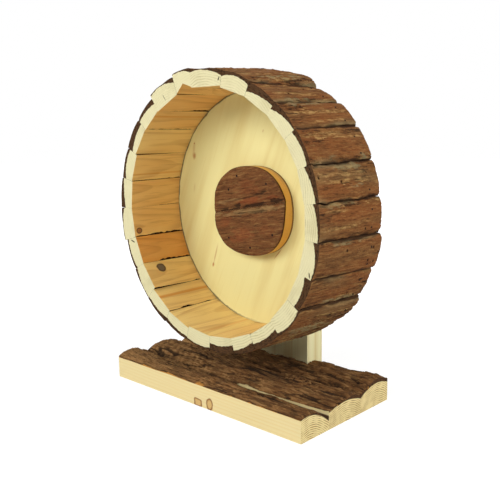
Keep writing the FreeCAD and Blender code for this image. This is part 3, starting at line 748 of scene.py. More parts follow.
def drum_bark(bench, shades):
    """Bark on the staves: reddish brown, smooth-grained."""
    return bark_shade(
        bench, shades.bark_brown, shades.bark_red, shades.bark_dark, shades.bark_tan, shades.bark_grey,
        shades.bark_fresh)


def base_bark(bench, shades):
    """Bark on the slabs: old, dark and furrowed."""
    finishes = bark_shade(
        bench, shades.base_brown, shades.base_brown, shades.base_dark, shades.base_light, shades.base_light,
        shades.orange_pine, run=1.3, speckle=0.5, depth=0.0018, chunky=0.5)
    finishes["Base Color"] = mix(attribute(bench, "bare", 2), finishes["Base Color"], shades.slab_end)
    return finishes


def hub_bark(bench, shades):
    """Bark on the hub cover."""
    return bark_shade(
        bench, shades.hub_brown, shades.hub_brown, shades.bark_dark, shades.bark_tan, shades.bark_grey,
        shades.bark_fresh, run=1.1, speckle=0.8, depth=0.0012, chunky=0.2)


def cut_bark(bench, shades):
    """Sawn edge of the bark: dark brown in thin layers."""
    log = log_space(bench)
    layers = cloud(log, 60, 300, 900, 3.0)
    grit = cloud(log, 700, 700, 900, 2.0)
    shade = mix(step_up(layers, 0.4, 0.7), shades.bark_cut, shades.bark_dark)
    shade = mix(step_up(grit, 0.6, 0.85) * 0.4, shade, shades.bark_brown)
    return {
        "Base Color": shade, "Roughness": 0.9, "Specular IOR Level": 0.1,
        "Normal": bump(layers + grit, 0.0006, 0.8)}


def cut_slab_bark(bench, shades):
    """Sawn edge of the slabs' bark: golden along the base's front, bare wood where the bark is off."""
    finishes = cut_bark(bench, shades)
    _, across, _ = parts(log_space(bench))
    worn = cloud(log_space(bench), 60, 300, 300, 3.0)
    front = step_up(across, *GOLDEN_START) * (1 - step_up(across, *GOLDEN_END))
    shade = mix(front * (0.4 + worn * 0.6), finishes["Base Color"], shades.orange_pine)
    finishes["Base Color"] = mix(attribute(bench, "bare", 2), shade, shades.slab_end)
    return finishes


def hub_edge(bench, shades):
    """Sawn golden edge of the hub cover, with a painted contact shadow along its back where it meets the
    disc.
    """
    log = log_space(bench)
    fibre = cloud(log, 30, 700, 300, 3.0)
    broad = cloud(log, 20, 60, 40, 2.0)
    shade = mix(step_up(fibre, 0.5, 0.85) * 0.3, shades.hub_edge, shades.late_pine)
    shade = mix(broad * 0.2, shade, shades.orange_pine)
    _, over, depth = parts(log)
    tan = step_up(depth, *EDGE_TAN_DEPTH) * step_up(over, *EDGE_TAN_OVER)
    shade = mix(tan * 0.7, shade, shades.bark_tan)
    # painted shadow: a dark band at the back of the edge, where the cover meets the disc
    shade = mix(step_up(depth, *EDGE_SHADOW_DEPTH) * 0.85, shade, shades.bark_cut)
    return {"Base Color": shade, "Roughness": 0.6 + fibre * 0.2, "Normal": bump(fibre, 0.00025, 0.6)}


def object_space(bench, lean=(0.0, 0.0, 0.0), middle=(0.0, 0.0, 0.0)):
    """Place on a carried-over piece, measured from a middle and leaned to follow the grain."""
    place = bench.node("ShaderNodeTexCoord", {}, {}, output=3)
    return place.node("ShaderNodeMapping", {"vector_type": "TEXTURE"}, {
        "Vector": place, "Location": middle, "Rotation": lean})


def plywood(bench, shades):
    """Face veneer of the disc: pale, with faint slanting grain, brown marks and painted shade in the gap to
    the staves on the left.
    """
    place = object_space(bench, (0.0, math.radians(DISC_GRAIN_LEAN), 0.0), AXLE)
    figure = cloud(place, 55, 55, 5.0, 3.0)
    fibre = cloud(place, 650, 650, 16, 3.0)
    band = cloud(place, 16, 16, 2.5, 2.0)
    shade = mix(step_up(figure, 0.42, 0.75) * 0.55, shades.disc_pale, shades.disc_grain)
    shade = mix(step_up(fibre, 0.55, 0.85) * 0.35, shade, shades.disc_grain)
    shade = mix(step_up(band, 0.55, 0.8) * 0.35, shade, shades.disc_grain)
    across, _, up = parts(object_space(bench, middle=AXLE))
    for left, over, half_width, half_height, lean, strength in DISC_MARKS:
        aside, above = across - left * MM, up - over * MM
        sine, cosine = math.sin(math.radians(lean)), math.cos(math.radians(lean))
        wide = (aside * cosine - above * sine) / (half_width * MM)
        high = (aside * sine + above * cosine) / (half_height * MM)
        near = 1 - step_up((wide * wide + high * high) ** 0.5 + (fibre - 0.5) * 0.8, 0.2, 1.1)
        shade = mix(near * strength, shade, shades.late_pine)
    # painted shade: a dark line round the disc's rim on the left, for the shade in the gap between disc and
    # staves
    ragged = cloud(object_space(bench), 90, 90, 90, 3.0)
    rim = step_up((across * across + up * up) ** 0.5 + (ragged - 0.5) * 0.004, *DISC_GAP_SHADE)
    shade = mix(rim * (1 - step_up(across, *DISC_GAP_SHADE_ACROSS)) * 0.8, shade, shades.bark_dark)
    return {"Base Color": shade, "Roughness": 0.58 + fibre * 0.15, "Normal": bump(fibre, 0.00012, 0.5)}


def planed_board(bench, shades):
    """Upright board: pale planed pine, grain upwards."""
    place = object_space(bench)
    figure = cloud(place, 150, 150, 3.0, 3.0)
    fibre = cloud(place, 900, 900, 14, 3.0)
    shade = mix(step_up(figure, 0.45, 0.7) * 0.7, shades.upright_pale, shades.upright_grain)
    shade = mix(step_up(fibre, 0.5, 0.85) * 0.35, shade, shades.upright_grain)
    return {
        "Base Color": shade, "Roughness": 0.6 + fibre * 0.15, "Specular IOR Level": 0.1,
        "Normal": bump(fibre, 0.00015, 0.5)}


def turned_pine(bench, shades):
    """Boss and dowels: plain pale wood."""
    place = object_space(bench)
    fibre = cloud(place, 600, 40, 600, 3.0)
    figure = cloud(place, 120, 10, 120, 2.0)
    shade = mix(step_up(figure, 0.4, 0.7) * 0.7, shades.upright_pale, shades.slab_late)
    shade = mix(step_up(fibre, 0.5, 0.85) * 0.4, shade, shades.upright_grain)
    return {"Base Color": shade, "Roughness": 0.65, "Normal": bump(fibre, 0.0002, 0.5)}


def metal(bench, bright, dull, roughness):
    """Plated metal: fine brush marks and dull handled patches."""
    place = object_space(bench)
    brush = cloud(place, 2600, 2600, 300, 2.0)
    patch = cloud(place, 260, 260, 260, 3.0)
    shade = mix(step_up(patch, 0.45, 0.75) * 0.6, bright, dull)
    return {
        "Base Color": shade, "Metallic": 1.0, "Roughness": roughness + patch * 0.2 + brush * 0.1,
        "Normal": bump(brush, 0.00005, 0.4)}


def zinc(bench, shades):
    """Bolt, nut and washers."""
    return metal(bench, shades.steel, shades.steel_dull, 0.28)


def dark_steel(bench, shades):
    """Brad heads."""
    return metal(bench, shades.dark_steel, shades.dark_steel_dull, 0.5)


def yellow_zinc(bench, shades):
    """Wood screws."""
    return metal(bench, shades.yellow_zinc, shades.yellow_zinc_dull, 0.32)


def brass(bench, shades):
    """Axle bush."""
    return metal(bench, shades.brass, shades.brass_dull, 0.3)


def finish(make):
    """The material that a finish function describes, made once."""
    name = make.__name__
    if name in bpy.data.materials:
        return bpy.data.materials[name]
    material = bpy.data.materials.new(name)
    material.use_nodes = True
    bench = Signal(material.node_tree)
    surface = material.node_tree.nodes["Principled BSDF"]
    for socket, value in make(bench, bpy.context.scene.wheel_finishes).items():
        if isinstance(value, Signal):
            material.node_tree.links.new(value.socket, surface.inputs[socket])
        else:
            surface.inputs[socket].default_value = value
    return material


def piece_of(mesh, name, *finishes):
    """Turns a mesh into an object with its finishes, and lets go of the mesh."""
    data = bpy.data.meshes.new(name)
    mesh.to_mesh(data)
    mesh.free()
    for make in finishes:
        data.materials.append(finish(make))
    piece = bpy.data.objects.new(name, data)
    bpy.context.scene.collection.objects.link(piece)
    return piece


def smooth(value, low, high):
    """A soft step from 0 at low to 1 at high."""
    share = min(max((value - low) / (high - low), 0.0), 1.0)
    return share * share * (3.0 - 2.0 * share)


def beside(distance, reach):
    """1 at an edge, falling softly to 0 at a reach from it."""
    return 1 - smooth(distance, 0.0, reach)


def two_waves(first, second, share):
    """Noise at one place and, added to it, a share of the noise at another, for two scales of raggedness."""
    return noise.noise(first) + share * noise.noise(second)


def clockwise(degrees):
    """The direction from the axle at an angle clockwise from the top, seen from the front."""
    turn = math.radians(degrees)
    return Vector((math.sin(turn), 0, math.cos(turn)))


def bark_relief(style, along, across, seed, rough):
    """Height of the bark over its smooth crown, then how deep in a crack and how torn it is there.

    The bark lies in thin ragged layers that run with the log, with slits and fibres in them, more so
    where it is rough.
    """
    bark = BARKS[style]
    wavy = across + bark["sway"] * noise.noise((along * 24, across * 36, seed + 7.1))

    def waves(name, times=1.0):
        cycles = bark[name]
        start = seed + 10 * len(name) + times
        return noise.noise((along * cycles[0] * times, wavy * cycles[1] * times, start))

    plate = waves("plate") + 0.40 * waves("plate", 2.7) + 0.22 * waves("plate", 6.1)
    stack = (0.5 + 0.7 * plate) * bark["layers"]
    lip = stack - math.floor(stack)
    level = math.floor(stack) + smooth(lip, 0.7, 1.0) - bark["layers"] / 2
    where = smooth(noise.noise((along * 14, across * 40, seed + 5.5)), -0.35, 0.25)
    slit = smooth(1 - abs(waves("slit")), 0.86, 0.98) * where
    fibre = waves("fibre") + 0.5 * waves("fibre", 2.3)
    slit *= 0.3 + rough
    height = (bark["step"] * level - bark["slit"][2] * slit) * (0.35 + 1.1 * rough)
    for name, wave in (("swell", waves("swell")), ("fibre", fibre), ("lumps", waves("lumps"))):
        height += bark[name][2] * wave
    low = smooth(-level / bark["layers"], 0.1, 0.6)
    crack = min(slit + 0.35 * smooth(lip, 0.62, 0.8) * (1 - smooth(lip, 0.9, 1.0)) + 0.3 * low, 1.0)
    torn = smooth(lip, 0.9, 1.0) + (1 - smooth(lip, 0.0, 0.12)) * 0.8
    return height, crack, min(torn * smooth(waves("swell", 2.2), -0.2, 0.4), 1.0)


def weathering(along, across, edge, seed):
    """Greyness of the bark: patches along a log's length, most by the seams."""
    patch = noise.noise((along * 16, across * 60, seed + 31.7))
    return smooth(patch, 0.05, 0.45) * (0.15 + 0.6 * smooth(edge, 0.6, 0.95))


def inside_patch(table, number, behind, share):
    """How far inside one of a stave's listed patches a place is, ragged at its edges."""
    inside = 0.0
    for start, end, middle, half in table.get(number, ()):
        ragged = two_waves((behind * 160, share * 7, number * 3.7), (behind * 480, share * 21, 1.3), 0.6)
        ends = smooth(behind / MM, start - 5, start + 6) * (1 - smooth(behind / MM, end - 6, end + 5))
        sides = 1 - smooth(abs(share - middle + 0.12 * half * ragged) / half, 0.5, 1.1)
        inside = max(inside, ends * sides * smooth(ragged, -0.5, 0.3))
    return inside


def cad_tree(node):
    """The CAD node's surface, to be met by rays."""
    mesh = frame["nodes"][node].data
    faces = [face.vertices for face in mesh.polygons]
    return BVHTree.FromPolygons([vert.co for vert in mesh.vertices], faces)


class Block:
    """A closed block with a fine grid above and below and one loop round its walls at the bark line.

    Place puts each point where it belongs: it takes column, row and layer, and gives the point, its
    place in the log and its bark values.
    """

    def __init__(self, name, columns, rows, place):
        self.name = name
        self.mesh = bmesh.new()
        mesh = self.mesh
        bmesh.ops.create_grid(mesh, x_segments=columns, y_segments=rows, size=0.5)
        raised = bmesh.ops.extrude_face_region(mesh, geom=mesh.faces[:], use_keep_orig=True)
        upper = [item for item in raised["geom"] if isinstance(item, bmesh.types.BMVert)]
        bmesh.ops.translate(mesh, verts=upper, vec=UP)
        everything = mesh.verts[:] + mesh.edges[:] + mesh.faces[:]
        bmesh.ops.bisect_plane(mesh, geom=everything, plane_co=UP / 2, plane_no=UP)
        bmesh.ops.recalc_face_normals(mesh, faces=mesh.faces[:])
        places = mesh.verts.layers.float_vector
        numbers = mesh.verts.layers.float
        for label in ("log", "bark", "knot", "second_knot"):
            places.new(label)
        for label in ("tone", "greyness", "ringing", "rough", "ruddy", "bare"):
            numbers.new(label)
        self.layers = {**dict(places.items()), **dict(numbers.items())}
        self.station = {}
        for vert in mesh.verts:
            column = round((vert.co.x + 0.5) * columns)
            row = round((vert.co.y + 0.5) * rows)
            layer = round(vert.co.z * 2)
            self.station[vert] = (column, row, layer)
            vert.co, vert[self.layers["log"]], vert[self.layers["bark"]] = place(column, row, layer)

    def note(self, name, number):
        """Gives each point a number for its material: one for all, or worked out from the point."""
        for vert in self.mesh.verts:
            vert[self.layers[name]] = number(vert) if callable(number) else number

    def knot(self, name, spot, squareness=2):
        """Marks a knot: spot gives distances from its heart in half sizes, and squareness 2 is round."""
        for vert in self.mesh.verts:
            vert[self.layers[name]] = (*spot(vert), squareness)

    def side_of(self, face, ends):
        """Which side of the block a face is on."""
        stations = [self.station[vert] for vert in face.verts]
        layers = {layer for _, _, layer in stations}
        if layers == {UNDERSIDE}:
            return BELOW
        if layers == {BARK_FACE}:
            return BARK
        if BARK_FACE in layers:
            return CUT_EDGE
        on_end = any(len({station[axis] for station in stations}) == 1 for axis in ends)
        return END if on_end else WALL

    def object(self, finishes, ends):
        """The finished piece, with a finish for each side; ends is the grid axis that its ends lie across."""
        for face in self.mesh.faces:
            face.material_index = self.side_of(face, ends)
            face.smooth = face.material_index == BARK
        for edge in self.mesh.edges:
            if len({face.material_index for face in edge.link_faces}) > 1:
                edge.smooth = False
        return piece_of(self.mesh, self.name, *finishes)


COLUMN_ENDS = (0,)
ROW_ENDS = (1,)
NO_ENDS = ()


def through(values, share):
    """The smooth curve through three values, at a share from -1 to 1."""
    first, middle, last = values
    return middle + (last - first) / 2 * share + ((first + last) / 2 - middle) * share * share


class Stave:
    """Shape of a stave: between its seams, outside the disc, about as long as its CAD solid."""

    def __init__(self, number, settings):
        self.number = number
        self.settings = settings
        self.columns, self.rows = settings.across_steps, settings.along_steps
        self.node = f"stave_{number:02d}"
        self.seed = 17.3 * number
        self.seams = (number, number % len(SEAMS) + 1)
        start, end = (SEAMS[seam - 1] for seam in self.seams)
        if end < start:
            end += 360
        self.drift = [math.radians(SEAM_DRIFT.get(seam, 0)) for seam in self.seams]
        self.half_turn = math.radians((end - start) / 2)
        self.out = clockwise((start + end) / 2)
        self.across = ALONG_AXLE.cross(self.out)
        disc_low, disc_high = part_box("back_disc")
        self.disc = (disc_high.x - disc_low.x) / 2
        self.inside = self.disc + DISC_SEAT
        low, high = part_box(self.node)
        self.sawn_front = low.y
        wander = settings.end_wander
        self.front = low.y + wander * (0.5 + 0.5 * noise.noise((self.seed, 1.7, 4.2)))
        self.back = high.y + settings.back_reach - wander * (1.0 + noise.noise((self.seed, 8.1, 2.6)))
        aside = PITH_WANDER * noise.noise((self.seed, 3.3, 9.4))
        self.pith = Vector((LOG_SPACING * number, aside, settings.pith_depth - self.inside))

    def half(self, up):
        """Half the stave's width at a height over the axle."""
        return up * math.tan(self.half_turn)

    def up(self, rise, share):
        """Height over the axle of a place that stands a rise in millimetres outside the disc."""
        return (self.disc + rise * MM) * math.cos(share * self.half_turn)

    def wood_top(self, share):
        """Height of the pale wood over the axle, at a share of the half width."""
        return self.up(through(STAVE_ENDS[self.number][:3], share), share)

    def bark_top(self, share):
        """Height of the smooth bark crown over the axle, at a share of the half width."""
        crest = self.up(STAVE_ENDS[self.number][3], share)
        settings = self.settings
        return max(crest - settings.bark_fall * share * share, self.wood_top(share) + settings.least_bark)

    def roughness(self, behind, share):
        """How rough the bark is at a place."""
        listed = inside_patch(ROUGH_BARK, self.number, behind, share)
        return max(LEAST_ROUGH, listed, SEAM_ROUGH * smooth(abs(share), 0.7, 0.95))

    def eaten(self, behind):
        """How far the sawn edge at a ragged seam is eaten away, behind the front."""
        loss = 0.0
        for start, end, most in RAGGED_SEAMS.get(self.number, ()):
            reach = smooth(behind / MM, start - 2, start + 4) * (1 - smooth(behind / MM, end - 4, end + 2))
            wave = two_waves((behind * 190, self.seed, 6.6), (behind * 520, self.seed, 1.9), 0.5)
            loss += most * MM * reach * (0.7 + 0.5 * wave)
        return max(loss, 0.0)

    def sawn_up(self, behind, share):
        """Height of the sawn face over the axle."""
        lean = STAVE_LEAN.get(self.number, 0) * (1 - min(behind / LEAN_REACH, 1))
        hollow = STAVE_HOLLOW.get(self.number, 0) * (1 - abs(share)) * (1 - smooth(behind, *HOLLOW_END))
        return self.inside + (hollow - lean) * MM

    def wood_up(self, along, share):
        """Height of the wood under the bark, a little wavy."""
        return self.wood_top(share) + STAVE_WAVE * noise.noise((along * 60, share * 6, self.seed + 1.1))

    def pits(self, behind, share):
        """How deep in each of its pits a place is, from 0 to 1."""
        half_crown = self.half(self.inside)
        for pit_behind, pit_share in BARK_PITS.get(self.number, ()):
            away = Vector((behind - pit_behind * MM, (share - pit_share) * half_crown)).length
            yield 1 - smooth(away, *PIT_SIDE)

    def swell(self, behind, share):
        """How much the bark stands out towards the back, less where it rounds down to a neighbour."""
        swell = BARK_SWELL.get(self.number, PLAIN_SWELL) * MM * min(behind / SWELL_REACH, 1)
        rounding = smooth(share, 0.4, 1.0) * (self.number in BARK_ROUNDING)
        return swell * (1 - rounding) - BARK_ROUNDING.get(self.number, 0) * MM * rounding

    def bark(self, along, behind, share):
        """Height of the bark over the axle, and how cracked, weathered and torn it is."""
        settings = self.settings
        across = share * self.half(self.inside)
        rough = self.roughness(behind, share)
        height, crack, torn = bark_relief("drum", along, across, self.seed, rough)
        from_front = smooth(behind, 0.0, STAVE_FRONT_FLAT)
        worn = settings.edge_wear * beside(self.back - along, STAVE_BACK_WORN)
        ragged = 0.5 + 0.5 * noise.noise((along * 75, share * 2, self.seed + 9.2))
        seam = smooth(abs(share), 0.86 - 0.2 * ragged, 1.0) * from_front
        grey = inside_patch(GREY_PATCHES, self.number, behind, share)
        grey = max(weathering(along, across, abs(share), self.seed), grey)
        torn = max(torn * (0.15 + 0.7 * rough), inside_patch(TAN_STREAKS, self.number, behind, share))
        height = height * (0.35 + 0.65 * from_front) + GREY_RISE * grey - worn
        height -= settings.seam_fall * seam * (0.35 + 0.9 * ragged)
        for pit in self.pits(behind, share):
            height -= PIT_DEPTH * pit
            crack = max(crack, 2 * pit)
        height += self.swell(behind, share)
        up = max(self.bark_top(share) + height, self.wood_top(share) + 0.6 * settings.least_bark)
        by_seam = max(seam * smooth(ragged, 0.2, 0.6), smooth(abs(share), 0.93, 0.99))
        return up, Vector((max(crack * (1 - 0.7 * grey), by_seam), grey, torn))

    def gap(self, share, depth, layer):
        """How far a side stays off its seam, more where the bark is bitten away."""
        if layer != BARK_FACE:
            return self.settings.seam
        bites = two_waves((depth * 26, self.seed + share * 3, 2.2), (depth * 75, self.seed, share), 0.7)
        return self.settings.seam + SEAM_BITE * max(0.5 + 0.6 * bites, 0.0)

    def wander(self, along, behind, share):
        """How far the bark follows the seams' wandering, at each seam in turn."""
        for seam, near in zip(self.seams, (smooth(-share, 0.7, 1.0), smooth(share, 0.7, 1.0))):
            sway = two_waves((along * 34, seam * 7.7, 0.5), (along * 130, seam * 7.7, 4.5), 0.5)
            yield SEAM_WANDER.get(seam, PLAIN_WANDER) * MM * sway * near * smooth(behind, 0.001, 0.008)

    def place(self, column, row, layer):
        """A point of the stave, its place in the log and its bark values."""
        share = 2 * column / self.columns - 1
        depth = row / self.rows
        along = self.front + (self.back - self.front) * depth
        behind = along - self.sawn_front
        bark = Vector()
        if layer == UNDERSIDE:
            up = self.sawn_up(behind, share)
        elif layer == BARK_LINE:
            up = self.wood_up(along, share)
        else:
            up, bark = self.bark(along, behind, share)
        drift = self.drift[0] * (1 - share) + self.drift[1] * (1 + share)
        across = share * self.half(up) + up * depth * drift / 2
        if abs(share) == 1:
            across -= share * self.gap(share, depth, layer)
        if layer == BARK_FACE:
            for sway in self.wander(along, behind, share):
                across += sway
        if layer == UNDERSIDE and share < -0.5:
            across += self.eaten(behind) * smooth(-share, 0.5, 1.0)
        point = AXLE + self.out * up + self.across * across + ALONG_AXLE * along
        return point, self.pith + Vector((along, across, up)), bark

    def tone(self, vert):
        """How orange the sawn face is at a point, warmer in its stripe."""
        warmth = STAVE_WARMTH.get(self.number, PLAIN_WARMTH)
        stripe, stripe_half, warmer = STAVE_STRIPES.get(self.number, NO_STRIPE)
        aside = abs((vert.co - AXLE).dot(self.across) / self.half(self.inside) - stripe)
        return warmth + warmer * (1 - smooth(aside, 0.3 * stripe_half, stripe_half))

    def from_knot(self, vert):
        """A point's distances from the sawn face's knot, along and across, in its half sizes."""
        behind, share, radius, _ = STAVE_KNOTS[self.number]
        heart = Vector((self.sawn_front + behind * MM, share * self.half(self.inside)))
        away = vert.co - AXLE
        along = (away.y - heart.x) / (radius * MM * KNOT_LENGTH)
        return along, (away.dot(self.across) - heart.y) / (radius * MM)

    def from_crack(self, vert):
        """A point's distances from the crack in the front end, along and across it, in its half sizes."""
        angle, away, half_length, half_width, lean = END_CRACKS[self.number]
        aside = vert.co - (AXLE + clockwise(angle) * away * MM)
        run = clockwise(angle + lean)
        return aside.dot(run) / (half_length * MM), aside.dot(ALONG_AXLE.cross(run)) / (half_width * MM)


class WHEEL_OT_staves(bpy.types.Operator):
    """Build the bark-on staves of the drum"""
    bl_idname = "wheel.staves"
    bl_label = "Staves"

    def execute(self, context):
        for number in STAVE_ENDS:
            self.stave(Stave(number, context.scene.wheel_staves))
        return {"FINISHED"}

    def stave(self, form):
        block = Block(f"bark_{form.node}", form.columns, form.rows, form.place)

        def rough(vert):
            column, row, _ = block.station[vert]
            return form.roughness(row / form.rows * (form.back - form.front), 2 * column / form.columns - 1)

        block.note("tone", form.tone)
        block.note("ringing", STAVE_RINGS.get(form.number, PLAIN_RINGS))
        block.note("rough", rough)
        if form.number in STAVE_KNOTS:
            block.note("greyness", STAVE_KNOTS[form.number][3])
            block.knot("knot", form.from_knot)
        if form.number in END_CRACKS:
            block.knot("second_knot", form.from_crack)
        piece = block.object((sawn_pine, stave_end, seam_wood, drum_bark, cut_bark), ROW_ENDS)
        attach(piece, "wheel")
        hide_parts(form.node)


class HubHalf:
    """Shape of one half of the hub cover: an oval cut along a slanting joint, bedded on the disc."""

    def __init__(self, half, side, settings):
        self.side = side
        self.settings = settings
        self.columns, self.rows = settings.across_steps, settings.up_steps
        self.node = f"hub_cover_{half}"
        self.seed = 5.7 * side
        self.low, self.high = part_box(self.node)
        self.tree = cad_tree(self.node)
        self.turn = math.radians(HUB_TURN)
        self.along_joint = Vector((math.cos(self.turn), 0, math.sin(self.turn)))
        self.over_joint = Vector((-math.sin(self.turn), 0, math.cos(self.turn)))
        self.middle = AXLE + Vector((HUB_MIDDLE[0], 0, HUB_MIDDLE[1])) * MM
        self.joint = HUB_JOINT * MM
        self.front, self.fall = HUB_CROWNS[half]
        left, right = (
            sign * 0.996 * self.meet(lambda out: (sign * out, self.joint)) for sign in (-1, 1))
        self.centre, self.width = (left + right) / 2, (right - left) / 2
        shares = [2 * column / self.columns - 1 for column in range(self.columns + 1)]
        self.edges = [self.centre + self.width * math.sin(math.pi / 2 * share) for share in shares]
        self.tops = [self.meet(lambda out: (across, self.joint + side * out)) for across in self.edges]

    def radius(self, across, height):
        """The oval outline's radius in the direction of a place."""
        angle = math.atan2(height, across) + self.turn
        sides = (math.cos(angle) / HUB_OVAL[0], math.sin(angle) / HUB_OVAL[1])
        return MM / sum(abs(side) ** HUB_SQUARENESS for side in sides) ** (1 / HUB_SQUARENESS)

    def meet(self, point):
        """How far out a place that moves by point(distance) stays inside the outline."""
        near, far = 0.0, OUTLINE_REACH
        for _ in range(HALVINGS):
            halfway = (near + far) / 2
            place = point(halfway)
            inside = math.hypot(*place) < self.radius(*place)
            near, far = (halfway, far) if inside else (near, halfway)
        return near

    def bed(self, point):
        """The back of the cover at a place, in the bolt head's recess or on the disc."""
        away = point - AXLE
        start = AXLE + Vector((0, 1, self.side * math.hypot(away.x, away.z)))
        hit = self.tree.ray_cast(start, -ALONG_AXLE)[0]
        return hit.y if hit else self.high.y

    def blotch(self, table, across, over):
        """How strong the listed blotches are at a place, ragged at their edges."""
        ragged = two_waves((across * 90, over * 300, self.seed), (across * 300, over * 800, 2.4), 0.6)
        spots = []
        for left, up, half_width, half_height, strength in table:
            away = math.hypot((across / MM - left) / half_width, (over / MM - up) / half_height)
            spots.append(strength * (1 - smooth(away + 0.7 * ragged, 0.5, 1.1)))
        return max(spots)

    def ruddy(self, vert):
        """How red the bark is at a point."""
        away = vert.co - self.middle
        return self.blotch(HUB_RED, away.dot(self.along_joint), away.dot(self.over_joint) - self.joint)

    def bark(self, column, across, over):
        """How far behind the wood's front the bark lies, below 0 in front of it, then its bark values."""
        relief, crack, torn = bark_relief("hub", across, over, self.seed, 0.25)
        rim = min(self.tops[column] - abs(over), self.width - abs(across - self.centre))
        worn = self.settings.edge_wear * beside(rim, HUB_RIM_WORN)
        dark, tan = self.blotch(HUB_DARK, across, over), self.blotch(HUB_TAN, across, over)
        near_joint = beside(abs(over), HUB_JOINT_DARK)
        # painted shade: the bark darkens towards the cover's outline, where it rounds down
        shade = 0.35 * beside(rim, HUB_RIM_SHADE)
        crack = max(0.7 * crack, dark, 0.6 * near_joint, shade)
        behind = worn - self.settings.bark - relief + BLOTCH_DEPTH * dark + JOINT_DEPTH * near_joint
        return behind, Vector((crack, 0.35 * tan, max(0.3 * torn, 0.5 * tan)))

    def place(self, column, row, layer):
        """A point of the half, its place in the log and its bark values."""
        across = self.edges[column]
        share = row / self.rows
        over = self.side * (self.tops[column] * share + JOINT_GAP * (1 - share))
        point = self.middle + self.along_joint * across + self.over_joint * (self.joint + over)
        log = Vector((across + 3.1 + self.side, over, HUB_LOG_DEPTH))
        bark = Vector()
        if layer == UNDERSIDE:
            point.y = self.bed(point)
            return point, log, bark
        rise = min(abs(over) / CROWN_HEIGHT, 1)
        crown = 4 * rise * (1 - rise) * (0.75 + 0.25 * (across - self.centre) / self.width)
        point.y = self.low.y + (self.front + self.fall * (1 - crown)) * MM + self.settings.bark
        point.y += HUB_WAVE * noise.noise((across * 80, over * 80, self.seed))
        if layer == BARK_FACE:
            behind, bark = self.bark(column, across, over)
            point.y += behind
        log.z += point.y - self.high.y
        return point, log, bark


class WHEEL_OT_hub(bpy.types.Operator):
    """Build the two bark-on halves of the hub cover"""
    bl_idname = "wheel.hub"
    bl_label = "Hub cover"

    def execute(self, context):
        for half, side in (("upper", 1), ("lower", -1)):
            self.half(half, HubHalf(half, side, context.scene.wheel_hub))
        return {"FINISHED"}

    def half(self, half, form):
        block = Block(f"bark_hub_{half}", form.columns, form.rows, form.place)
        block.note("rough", 0.15)
        block.note("ruddy", form.ruddy)
        piece = block.object((hub_edge, hub_edge, hub_edge, hub_bark, cut_bark), NO_ENDS)
        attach(piece, "wheel")
        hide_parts(form.node)


def spaced(low, high, step, breaks):
    """Even places from low to high, with a close pair at each break."""
    hair = 0.02 * MM
    stops = [low]
    for place in breaks:
        stops += [place - hair, place + hair]
    stops.append(high)
    places = []
    for start, end in zip(stops[0::2], stops[1::2]):
        count = max(round((end - start) / step), 1)
        places += [start + (end - start) * index / count for index in range(count + 1)]
    return places


